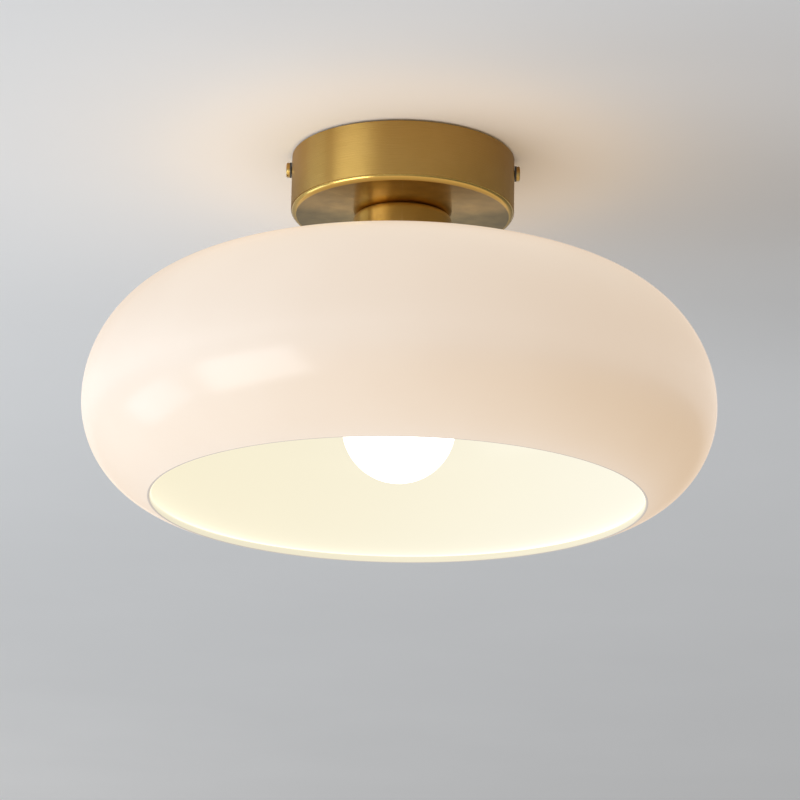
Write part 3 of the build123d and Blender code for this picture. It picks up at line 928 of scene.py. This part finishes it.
@dataclass
class Canopy(SubAssembly):
    """The spun brass cup against the ceiling, with its neck below."""

    wall: float = 1.0 * MM
    edge_radius: float = 2.8 * MM
    lip_radius: float = 0.3 * MM
    hole_radius: float = 5.3 * MM
    screw_drop: float = 7.0 * MM
    screw_hole_radius: float = 2.4 * MM
    neck_wall: float = 1.2 * MM
    neck_edge_radius: float = 4.0 * MM

    def build(self) -> None:
        """Turn the cup and the neck, and drill the cup for its screws."""
        low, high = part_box("canopy")
        radius, top, bottom = high.x, high.z, low.z
        bore, floor = radius - self.wall, bottom + self.wall
        cup = Outline().to(self.hole_radius, bottom, CupFace.BASE.value)
        cup.to(radius - self.edge_radius, bottom, CupFace.BASE.value)
        cup.bend((radius, bottom), (radius, top), self.edge_radius, CupFace.EDGE.value)
        cup.bend((radius, top), (bore, top), self.lip_radius, steps=3)
        cup.bend((bore, top), (bore, floor), self.lip_radius, steps=3)
        cup.bend((bore, floor), (self.hole_radius, floor), self.edge_radius - self.wall)
        cup.to(self.hole_radius, floor)
        self.cup = turn("canopy_cup", cup)
        # The cup is finished before it is drilled, so that the cut keeps the finish of each face.
        # Wall, bend with a painted highlight and underside with painted shade, in the order of the face
        # zones.
        for brass in (BRUSHED_BRASS, EDGE_BRASS_HIGHLIGHT_PAINTED, POLISHED_BRASS_SHADE_PAINTED):
            self.cup.data.materials.append(brass.material())
        drill = Outline().to(0, -2 * radius).to(self.screw_hole_radius, -2 * radius)
        drill.to(self.screw_hole_radius, 2 * radius).to(0, 2 * radius)
        cutter = turn("cutter", drill, SMALL_TURN)
        across = Matrix.Rotation(math.pi / 2, 4, "Y")
        cutter.data.transform(Matrix.Translation((0, 0, top - self.screw_drop)) @ across)
        cut(self.cup, [cutter])

        low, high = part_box("neck")
        radius, top, bottom = high.x, high.z, low.z
        bore, roof = radius - self.neck_wall, top - self.neck_wall
        tube = Outline().to(self.hole_radius, top)
        tube.bend((radius, top), (radius, bottom), self.neck_edge_radius)
        tube.bend((radius, bottom), (bore, bottom), self.lip_radius, steps=3)
        tube.bend((bore, bottom), (bore, roof), self.lip_radius, steps=3)
        tube.bend((bore, roof), (self.hole_radius, roof), self.neck_edge_radius - self.neck_wall)
        tube.to(self.hole_radius, roof)
        self.neck = turn("neck_cup", tube)

    def dress(self) -> None:
        """Finish the neck, which is a little warmer and smoother than the canopy."""
        self.seat(self.cup, (), "fixture", "satin_brass", "canopy")
        self.seat(self.neck, (NECK_BRASS,), "fixture", "satin_brass", "neck")


@dataclass
class Screw:
    """A screw along its own Z axis, with its seat at zero and its head above."""

    head_radius: float
    head_height: float
    shank_radius: float
    length: float
    pitch: float = 0.7 * MM
    edge: float = 0.6 * MM
    drive: Drive = Drive.SLOT
    slot_width: float = 1.0 * MM
    slot_depth: float = 1.2 * MM
    seat_gap: float = 0.03 * MM
    groove_share: float = 0.55
    relief: float = 0.3 * MM
    chamfer: float = 0.4 * MM
    slot_share: float = 4.0
    cross_share: float = 1.2

    def build(self, name: str) -> bpy.types.Object:
        """Turn the screw and cut its recess.

        Args:
            name: Name of the piece.

        Returns:
            The screw.
        """
        thread = Thread(self.shank_radius, self.pitch, self.groove_share * self.pitch, -self.relief,
                        self.chamfer - self.length)
        body = Outline().to(0, self.head_height)
        body.bend((self.head_radius, self.head_height), (self.head_radius, 0), self.edge, steps=6)
        body.to(self.head_radius, self.seat_gap).to(self.shank_radius, self.seat_gap)
        body.screw(thread, steps=6)
        body.to(self.shank_radius - self.chamfer, -self.length).to(0, -self.length)
        screw = turn(name, body, SMALL_TURN, thread)
        middle = Matrix.Translation((0, 0, self.head_height))
        width, height = self.slot_width, 2 * self.slot_depth
        sizes = [(self.slot_share * self.head_radius, width, height)]
        if self.drive is Drive.CROSS:
            arm = self.cross_share * self.head_radius
            sizes = [(arm, width, height), (width, arm, height)]
        for size in sizes:
            cut(screw, [block(size, middle)])
        return screw


@dataclass
class CanopyScrew(SubAssembly):
    """One of the two brass screws that hold the canopy on the bracket, with its washer."""

    side: Side
    shape: Screw = field(
        default_factory=lambda: Screw(4.0 * MM, 1.9 * MM, 2.0 * MM, 8.0 * MM, edge=0.8 * MM))
    turned_to: float = math.radians(25)

    def build(self) -> None:
        """Build the screw and lay it along X with its head outwards."""
        node = f"canopy_screw_{self.side.name.lower()}"
        low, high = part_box(node)
        seat = (high.x if self.side is Side.RIGHT else low.x) - self.side.value * self.shape.head_height
        middle = (low + high) / 2
        self.screw = self.shape.build(f"thumb_screw_{self.side.name.lower()}")
        outward = Matrix.Rotation(self.side.value * math.pi / 2, 4, "Y")
        self.screw.matrix_world = (Matrix.Translation((seat, middle.y, middle.z)) @ outward
                                   @ Matrix.Rotation(self.turned_to, 4, "Z"))

    def dress(self) -> None:
        """Finish the screw in brass and its washer in rubber."""
        name = self.side.name.lower()
        self.seat(self.screw, (SCREW_BRASS,), f"{name}_screw", "screw_brass", f"canopy_screw_{name}")
        self.finish_nodes(RUBBER, f"canopy_washer_{name}")


@dataclass
class GlassShade(SubAssembly):
    """The open opal shade: flat seat, crown, shoulder and undercurve, all of one wall."""

    wall: float = 3.5 * MM
    hole_radius: float = 21.0 * MM
    seat_radius: float = 29.0 * MM
    crown_radius: float = 364.0 * MM
    shoulder_radius: float = 66.8 * MM
    undercurve_radius: float = 54.2 * MM
    undercurve_angle: float = 72.4
    rim_radius: float = 1.5 * MM
    rim_steps: int = 8
    side_steps: int = 40
    edge_sweep: float = 45.0

    def side_points(self, inset: float) -> Outline:
        """Draw one side of the wall from the hole to just short of the mouth.

        Args:
            inset: Depth below the outer face.

        Returns:
            The points of that side.
        """
        _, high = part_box("glass_shade")
        seat, reach = high.z, high.x
        crown_z = seat - math.sqrt(self.crown_radius**2 - self.seat_radius**2)
        shoulder_x = reach - self.shoulder_radius
        equator = crown_z + math.sqrt((self.crown_radius - self.shoulder_radius) ** 2 - shoulder_x**2)
        crown = self.crown_radius - inset
        start = math.degrees(math.asin((seat - inset - crown_z) / crown))
        end = math.degrees(math.atan2(equator - crown_z, shoulder_x))
        under = self.undercurve_radius - inset
        stop = self.undercurve_angle - math.degrees(self.rim_radius / under)
        zone = (ShadeFace.INNER if inset else ShadeFace.OUTER).value
        side = Outline().to(self.hole_radius, seat - inset, zone)
        side.arc((0, crown_z), crown, start, end - start, zone, self.side_steps)
        side.arc((shoulder_x, equator), self.shoulder_radius - inset, end, -end, zone, self.side_steps)
        side.arc((reach - self.undercurve_radius, equator), under, 0, -stop, zone, self.side_steps)
        return side

    def build(self) -> None:
        """Turn the shade, with a fire-polished rim between its two sides."""
        outer, inner = self.side_points(0.0), self.side_points(self.wall)
        _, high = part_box("glass_shade")
        angle = -math.radians(self.undercurve_angle)
        spoke = Vector((math.cos(angle), math.sin(angle)))
        along = Vector((math.sin(angle), -math.cos(angle)))
        equator = max(outer.points)[1]
        middle = Vector((high.x - self.undercurve_radius, equator))
        rim = Outline()
        for depth, first in ((self.rim_radius, 0.0), (self.wall - self.rim_radius, 90.0)):
            centre = middle + spoke * (self.undercurve_radius - depth) - along * self.rim_radius
            for step in range(self.rim_steps + 1):
                degrees = first + 90.0 * step / self.rim_steps
                turned = math.radians(degrees)
                point = centre + self.rim_radius * (math.cos(turned) * spoke + math.sin(turned) * along)
                face = ShadeFace.EDGE if degrees <= self.edge_sweep else ShadeFace.RIM
                rim.to(*point, face.value)
        whole = Outline(outer.points + rim.points + inner.points[::-1],
                        outer.zones + rim.zones + inner.zones[::-1])
        self.glass = turn("opal_shade", whole)

    def dress(self) -> None:
        """Finish the outer face, the rim and the lit inside, and both gaskets."""
        opals = (OUTER_OPAL, EDGE_OPAL, RIM_OPAL, INNER_OPAL)
        self.seat(self.glass, opals, "shade", "opal_glass", "glass_shade")
        self.finish_nodes(SILICONE, "neck_gasket", "shade_gasket")


@dataclass
class Lampholder(SubAssembly):
    """The lampholder on its threaded nipple, with the ring that clamps the shade."""

    collar_step: float = 1.15 * MM
    collar_height: float = 6.6 * MM
    insert_space: float = 17.2 * MM
    shell_space: float = 15.6 * MM
    ledge_height: float = -68.0 * MM
    lip_radius: float = 14.4 * MM
    lip_height: float = 2.0 * MM
    lip_edge: float = 0.5 * MM
    mouth_edge: float = 0.6 * MM
    ring_pitch: float = 2.5 * MM
    ring_groove: float = 0.9 * MM
    ring_relief: float = 0.5 * MM
    ring_lead: float = 1.0 * MM
    nipple_pitch: float = 1.0 * MM
    nipple_groove: float = 0.55 * MM
    nipple_relief: float = 0.3 * MM
    nipple_chamfer: float = 0.4 * MM
    nipple_bore: float = 3.8 * MM

    def build(self) -> None:
        """Turn the threaded skirt and the nipple."""
        low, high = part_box("holder_skirt")
        collar, top, mouth = high.x, high.z, low.z
        radius = collar - self.collar_step
        step = top - self.collar_height
        ledge, lip_top = self.ledge_height, mouth + self.lip_height
        thread = Thread(radius, self.ring_pitch, self.ring_groove, step - self.ring_relief,
                        mouth + self.ring_lead)
        skirt = Outline().to(self.insert_space, top).to(collar, top).to(collar, step).to(radius, step)
        skirt.screw(thread).bend((radius, mouth), (self.lip_radius, mouth), self.mouth_edge, steps=4)
        skirt.bend((self.lip_radius, mouth), (self.lip_radius, lip_top), self.lip_edge, steps=4)
        skirt.to(self.lip_radius, lip_top).to(self.shell_space, lip_top)
        skirt.to(self.shell_space, ledge).to(self.insert_space, ledge)
        self.skirt = turn("threaded_skirt", skirt, MEDIUM_TURN, thread)

        low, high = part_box("threaded_nipple")
        radius, top, bottom = high.x, high.z, low.z
        thread = Thread(radius, self.nipple_pitch, self.nipple_groove, top - self.nipple_relief,
                        bottom + self.nipple_relief)
        end_radius = radius - self.nipple_chamfer
        tube = Outline().to(self.nipple_bore, top).to(end_radius, top).screw(thread, steps=6)
        tube.to(end_radius, bottom).to(self.nipple_bore, bottom)
        self.nipple = turn("threaded_tube", tube, SMALL_TURN, thread)

    def dress(self) -> None:
        """Finish the mouldings white, the tube zinc plated and the contacts bright."""
        self.seat(self.skirt, (WHITE_PHENOLIC,), "fixture", "holder_white", "holder_skirt")
        self.seat(self.nipple, (ZINC,), "fixture", "zinc_steel", "threaded_nipple")
        self.finish_nodes(WHITE_PHENOLIC, "holder_cap", "shade_ring")
        self.finish_nodes(ZINC, "nipple_nut", "lock_washer", "holder_grub_screw", "holder_screws")
        self.finish_nodes(CERAMIC, "holder_insert")
        self.finish_nodes(NICKEL, "screw_shell")
        self.finish_nodes(BRIGHT_BRASS, "centre_contact")


@dataclass
class Lamp(SubAssembly):
    """The lit lamp: threaded cap, white housing and opal globe."""

    cap_wall: float = 0.5 * MM
    cap_nose: float = 1.6 * MM
    cap_shoulder: float = 0.3 * MM
    cap_slope: float = 0.7
    cap_skirt: float = 3.0 * MM
    cap_pitch: float = 3.629 * MM
    cap_groove: float = 0.9 * MM
    globe_radius: float = 30.0 * MM
    globe_wall: float = 1.2 * MM
    globe_edge_rise: float = 18.0 * MM
    housing_neck: float = 14.0 * MM
    housing_wall: float = 2.0 * MM
    seam: float = 0.4 * MM
    tip_edge: float = 0.35 * MM
    tip_crown: float = 0.9 * MM
    tip_gap: float = 0.03 * MM

    def build(self) -> None:
        """Turn the tip, the cap, the globe and the housing."""
        low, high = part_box("lamp_tip")
        radius, top, base = high.x, high.z, low.z + self.tip_gap
        dome = (radius**2 + self.tip_crown**2) / (2 * self.tip_crown)
        sweep = math.degrees(math.asin((radius - self.tip_edge) / dome))
        tip = Outline().arc((0, top - dome), dome, 90, -sweep, steps=10)
        tip.points[0] = (0.0, top)
        tip.bend((radius, top - self.tip_crown), (radius, base), self.tip_edge, steps=4)
        tip.to(radius, base).to(0, base)
        self.tip = turn("solder_tip", tip, SMALL_TURN)

        low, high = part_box("lamp_screw_cap")
        radius, top, end = high.x, high.z, low.z
        thread = Thread(radius, self.cap_pitch, self.cap_groove, top - self.cap_nose, end + self.cap_skirt)
        bore = radius - self.cap_groove - self.cap_wall
        cap = Outline().to(radius - self.cap_nose, top)
        cap.to(radius - self.cap_shoulder, top - self.cap_slope * self.cap_nose)
        cap.screw(thread, steps=12).to(radius, end).to(bore, end).to(bore, top - self.cap_nose)
        cap.to(radius - self.cap_nose - self.cap_wall, top)
        self.cap = turn("lamp_thread", cap, MEDIUM_TURN, thread)

        low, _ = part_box("lamp_globe")
        middle = low.z + self.globe_radius
        edge = middle + self.globe_edge_rise
        rise = math.degrees(math.asin(self.globe_edge_rise / self.globe_radius))
        inner_radius = self.globe_radius - self.globe_wall
        inner_rise = math.degrees(math.asin(self.globe_edge_rise / inner_radius))
        globe = Outline().arc((0, middle), self.globe_radius, -90, 90 + rise, steps=48)
        globe.arc((0, middle), inner_radius, inner_rise, -90 - inner_rise, steps=36)
        globe.points[0] = (0.0, low.z)
        globe.points[-1] = (0.0, low.z + self.globe_wall)
        self.globe = turn("lamp_globe_lit", globe, MEDIUM_TURN)

        _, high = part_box("lamp_housing")
        edge_radius = math.sqrt(self.globe_radius**2 - self.globe_edge_rise**2)
        flare = self.flare((edge_radius, edge), (self.housing_neck, high.z))
        housing = Outline().to(edge_radius - self.seam, edge)
        for radius, height in flare:
            housing.to(radius, height)
        for radius, height in flare[::-1]:
            housing.to(radius - self.housing_wall, height)
        self.housing = turn("lamp_body", housing, MEDIUM_TURN)

    def flare(self, edge: Point, neck: Point, steps: int = 24) -> list[Point]:
        """Draw the housing's side, an arc that leaves the globe along its tangent.

        Args:
            edge: Where it meets the globe.
            neck: Where it meets the cap.
            steps: Number of chords.

        Returns:
            The points from the globe up to the cap.
        """
        tangent = Vector((-self.globe_edge_rise, edge[0])).normalized()
        chord = Vector(neck) - Vector(edge)
        across = Vector((tangent.y, -tangent.x))
        radius = chord.length_squared / (2 * chord.dot(across))
        centre = Vector(edge) + across * radius
        first, last = Vector(edge) - centre, Vector(neck) - centre
        sweep = first.angle_signed(last)
        points = [edge]
        for step in range(1, steps + 1):
            spoke = first.copy()
            spoke.rotate(Matrix.Rotation(-sweep * step / steps, 2))
            points.append(tuple(centre + spoke))
        return points

    def dress(self) -> None:
        """Finish the lamp's outside and its inner pieces."""
        self.seat(self.tip, (NICKEL,), "lamp_contact", "nickel_shell", "lamp_tip")
        self.seat(self.cap, (NICKEL,), "lamp", "nickel_shell", "lamp_screw_cap")
        self.seat(self.globe, (LIT_GLOBE,), "lamp", "lamp_opal", "lamp_globe")
        self.seat(self.housing, (LAMP_WHITE,), "lamp", "lamp_white", "lamp_housing")
        self.finish_nodes(BLACK_GLASS, "lamp_insulator")
        self.finish_nodes(BOARD_WHITE, "lamp_board")
        self.finish_nodes(PHOSPHOR, "lamp_leds")
        self.finish_nodes(DRIVER_GREEN, "lamp_driver")


@dataclass
class Wiring(SubAssembly):
    """The bracket under the ceiling, with its terminal block, leads and earth tag."""

    pole_pitch: float = 9.0 * MM
    pole_count: int = 3
    screw_spread: float = 8.0 * MM
    clamp_radius: float = 1.5 * MM
    clamp_head: float = 1.2 * MM

    def build(self) -> None:
        """Build the earth screw and the clamp screws, which face down."""
        low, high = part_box("earth_screw")
        middle = (low + high) / 2
        facing_down = Matrix.Rotation(math.pi, 4, "X")
        shape = Screw(3.5 * MM, 2.4 * MM, 2.0 * MM, 1.5 * MM, drive=Drive.CROSS)
        seat = Matrix.Translation((middle.x, middle.y, low.z + shape.head_height))
        self.earth = joined("earth_screw_cross", shape.build("pattern"), [seat @ facing_down])

        low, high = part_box("terminal_screws")
        length = high.z - low.z - self.clamp_head
        shape = Screw(self.clamp_radius, self.clamp_head, self.clamp_radius, length, pitch=0.5 * MM,
                      edge=0.2 * MM, slot_width=0.6 * MM, slot_depth=0.7 * MM)
        first = -self.pole_pitch * (self.pole_count - 1) / 2
        places = [
            Matrix.Translation((first + pole * self.pole_pitch, row * self.screw_spread / 2,
                                low.z + shape.head_height)) @ facing_down
            for pole in range(self.pole_count) for row in (-1, 1)]
        self.clamps = joined("clamp_screws_slotted", shape.build("pattern"), places)

    def dress(self) -> None:
        """Finish the steel, the nylon, the brass tubes and the coloured sleeves."""
        self.seat(self.earth, (GREEN_PASSIVATED,), "fixture", "earth_green", "earth_screw")
        self.seat(self.clamps, (ZINC,), "fixture", "zinc_steel", "terminal_screws")
        self.finish_nodes(ZINC, "mounting_bracket", "block_screw")
        self.finish_nodes(NYLON, "terminal_block")
        self.finish_nodes(BRIGHT_BRASS, "terminal_tubes")
        self.finish_nodes(TINNED, "earth_tag")
        self.finish_nodes(LIVE_BROWN, "live_lead")
        self.finish_nodes(NEUTRAL_BLUE, "neutral_lead")
        self.finish_nodes(EARTH_STRIPED, "earth_lead")


# Studio

@dataclass(frozen=True)
class Pane:
    """A soft rectangular light, placed by its direction from the shade."""

    name: str
    azimuth: float
    elevation: float
    distance: float
    width: float
    height: float
    power: float
    colour: Colour

    def hang(self, aim: Vector) -> None:
        """Hang the pane so that it faces the shade.

        Args:
            aim: The place that it faces.
        """
        turn_by, lift = math.radians(self.azimuth), math.radians(self.elevation)
        towards = Vector((math.sin(turn_by) * math.cos(lift), -math.cos(turn_by) * math.cos(lift),
                          math.sin(lift)))
        light = bpy.data.lights.new(self.name, "AREA")
        light.shape = "RECTANGLE"
        light.size, light.size_y = self.width, self.height
        light.energy, light.color = self.power, self.colour
        pane = linked(self.name, light)
        pane.location = aim + towards * self.distance
        pane.rotation_euler = towards.to_track_quat("Z", "Y").to_euler()
        pane.visible_camera = False


@dataclass
class Studio:
    """A pale ceiling with its washes of light, two soft panes on the left and an even surround."""

    ceiling_gap: float = 1.1 * MM
    ceiling_reach: float = 4.0
    ceiling_hole: float = 55.0 * MM
    ceiling_colour: Colour = (0.90, 0.90, 0.90)
    ceiling_patch: Colour = (0.88, 0.88, 0.88)
    ceiling_patches: float = 5.0
    ceiling_roughness: float = 0.9
    ceiling_gloss: float = 0.1
    # Painted shade: the ceiling's darker colours round the light, seen only in reflections.
    mirrored: Glow = ((0.05, (0.46, 0.38, 0.30)), (0.12, (0.465, 0.38, 0.30)),
                      (0.20, (0.275, 0.21, 0.16)))
    shade_mirror_centre: tuple[float, float, float] = (-0.05, -0.12, 0.0)
    shade_mirror_end: tuple[float, float] = (0.26, 0.60)
    surround_left: Colour = (0.45, 0.45, 0.45)
    surround_right: Colour = (0.11, 0.11, 0.11)
    surround_level: Colour = (0.48, 0.48, 0.48)
    sideways_range: tuple[float, float] = (-0.8, 0.8)
    upright_range: tuple[float, float] = (0.15, 0.85)
    backdrop: Colour = (0.72, 0.72, 0.72)
    aim: tuple[float, float, float] = (0.0, 0.0, -0.1)
    panes: tuple[Pane, ...] = (
        Pane("pane_left", -102.0, -22.0, 2.2, 1.05, 0.80, 4.9, (0.53, 0.77, 1.0)),
        Pane("pane_front_left", -55.5, -25.0, 2.2, 1.45, 1.10, 17.5, (0.88, 0.93, 1.0)),
    )
    wash_place: tuple[float, float, float] = (-0.95, 0.10, -0.9)
    wash_size: float = 0.8
    wash_power: float = 2.05
    far_wash_place: tuple[float, float, float] = (-0.9, 2.0, -0.9)
    far_wash_power: float = 2.0
    wash_colour: Colour = (1.0, 1.0, 1.0)
    crown_place: tuple[float, float, float] = (0.0, 0.0, -0.050)
    crown_size: float = 0.25
    crown_power: float = 0.055
    crown_colour: Colour = (1.0, 0.62, 0.24)

    def build(self) -> None:
        """Set the ceiling, the panes, the lights that face up and the surround."""
        self.ceiling()
        for pane in self.panes:
            pane.hang(Vector(self.aim))
        self.upward("ceiling_wash", self.wash_place, self.wash_size, self.wash_power, self.wash_colour)
        self.upward("far_wash", self.far_wash_place, self.wash_size, self.far_wash_power, self.wash_colour)
        self.upward("crown_glow", self.crown_place, self.crown_size, self.crown_power, self.crown_colour)
        self.surround()
        bpy.context.scene.view_settings.view_transform = "Standard"

    def ceiling(self) -> None:
        """Lay a plain disc on the ceiling, open above the canopy and clear from above.

        Round the light it is painted darker in reflections than it is to the eye: a painted shade in the
        brass, as a black flag would make it.
        """
        spokes = [(math.cos(math.tau * step / FINE_TURN), math.sin(math.tau * step / FINE_TURN))
                  for step in range(FINE_TURN)]
        corners = [(radius * x, radius * y, 0.0) for radius in (self.ceiling_hole, self.ceiling_reach)
                   for x, y in spokes]
        faces = [(step, (step + 1) % FINE_TURN, FINE_TURN + (step + 1) % FINE_TURN, FINE_TURN + step)
                 for step in range(FINE_TURN)]
        mesh = bpy.data.meshes.new("ceiling")
        mesh.from_pydata(corners, [], faces)
        plane = linked("ceiling", mesh)
        plane.location.z = self.ceiling_gap
        plane.visible_diffuse = False
        plane.visible_shadow = False
        surface = Surface("ceiling_paint")
        graph = surface.graph
        patch = surface.cloud(self.ceiling_patches)
        painted = graph.mix(patch, self.ceiling_patch, self.ceiling_colour)
        away = graph.node("ShaderNodeVectorMath", operation="DISTANCE")
        graph.feed(away.inputs[0], graph.place())
        graph.feed(away.inputs[1], self.shade_mirror_centre)
        gap = away.outputs["Value"]
        # Painted shade for glossy rays only: darker close to the light, fading back to the paint further
        # out.
        near = graph.glow(graph.maths("DIVIDE", gap, GLOW_REACH), self.mirrored)
        reflection_shade_painted = graph.mix(graph.spread(gap, 0.0, 1.0, *self.shade_mirror_end), near, painted)
        mirrored = graph.node("ShaderNodeLightPath").outputs["Is Glossy Ray"]
        surface.put(Base_Color=graph.mix(mirrored, painted, reflection_shade_painted), Roughness=self.ceiling_roughness,
                    Specular_IOR_Level=self.ceiling_gloss)
        seen_from = graph.node("ShaderNodeNewGeometry").outputs["Backfacing"]
        clear = graph.node("ShaderNodeBsdfTransparent").outputs[0]
        choice = graph.node("ShaderNodeMixShader")
        graph.feed(choice.inputs[0], seen_from)
        graph.feed(choice.inputs[1], surface.shader.outputs[0])
        graph.feed(choice.inputs[2], clear)
        out = surface.material.node_tree.nodes["Material Output"]
        graph.feed(out.inputs["Surface"], choice.outputs[0])
        mesh.materials.append(surface.material)

    @staticmethod
    def upward(name: str, place: Sequence[float], size: float, power: float, colour: Colour) -> None:
        """Hang a round light that faces the ceiling and isn't mirrored in the brass.

        Args:
            name: Name of the light.
            place: Where it hangs.
            size: Its diameter.
            power: Its power.
            colour: Its colour.
        """
        light = bpy.data.lights.new(name, "AREA")
        light.shape = "DISK"
        light.size, light.energy, light.color = size, power, colour
        lamp = linked(name, light)
        lamp.location = place
        lamp.rotation_euler = (math.pi, 0.0, 0.0)
        lamp.visible_camera = False
        lamp.visible_glossy = False

    def surround(self) -> None:
        """Light evenly: brighter from the left than from the right, level from above and below."""
        world = bpy.data.worlds.new("surround")
        world.use_nodes = True
        bpy.context.scene.world = world
        graph = Graph(world.node_tree)
        parts = graph.node("ShaderNodeSeparateXYZ")
        graph.feed(parts.inputs[0], graph.node("ShaderNodeTexCoord").outputs["Generated"])
        sideways = graph.spread(parts.outputs[0], 0.0, 1.0, *self.sideways_range)
        sides = graph.mix(sideways, self.surround_left, self.surround_right)
        steepness = graph.maths("ABSOLUTE", parts.outputs[2])
        upright = graph.spread(steepness, 0.0, 1.0, *self.upright_range)
        lighting = graph.mix(upright, sides, self.surround_level)
        seen = graph.node("ShaderNodeLightPath").outputs["Is Camera Ray"]
        sky = world.node_tree.nodes["Background"]
        graph.feed(sky.inputs["Color"], graph.mix(seen, lighting, self.backdrop))
        sky.inputs["Strength"].default_value = 1.0


@dataclass
class PhotoCamera:
    """The camera at the photograph's viewing angle."""

    lens: float = 157.5
    sensor: float = 36.0
    location: tuple[float, float, float] = (0.0, -1.7787, -0.6555)
    yaw: float = 2.0e-4
    pitch: float = 0.284588
    roll: float = 0.016827
    clip_end: float = 50.0

    def build(self) -> None:
        """Place the camera and make it the scene's own."""
        forward = Vector((math.sin(self.yaw) * math.cos(self.pitch),
                          math.cos(self.yaw) * math.cos(self.pitch), math.sin(self.pitch)))
        right = Vector((math.cos(self.yaw), -math.sin(self.yaw), 0.0))
        up = right.cross(forward)
        level_right = right * math.cos(self.roll) + up * math.sin(self.roll)
        level_up = up * math.cos(self.roll) - right * math.sin(self.roll)
        data = bpy.data.cameras.new("photo_camera")
        data.lens, data.sensor_width = self.lens, self.sensor
        data.clip_end = self.clip_end
        camera = linked("photo_camera", data)
        place = Matrix((level_right, level_up, -forward)).transposed().to_4x4()
        place.translation = Vector(self.location)
        camera.matrix_world = place
        bpy.context.scene.camera = camera


def main() -> None:
    """Build and dress the light, then set the studio and the camera."""
    logging.basicConfig(level=logging.INFO, format="%(name)s: %(message)s")
    assemblies = (Canopy(), CanopyScrew(Side.LEFT), CanopyScrew(Side.RIGHT), GlassShade(), Lampholder(),
                  Lamp(), Wiring())
    for assembly in assemblies:
        assembly.build()
        assembly.dress()
    Studio().build()
    PhotoCamera().build()


if __name__ == "__main__":
    main()
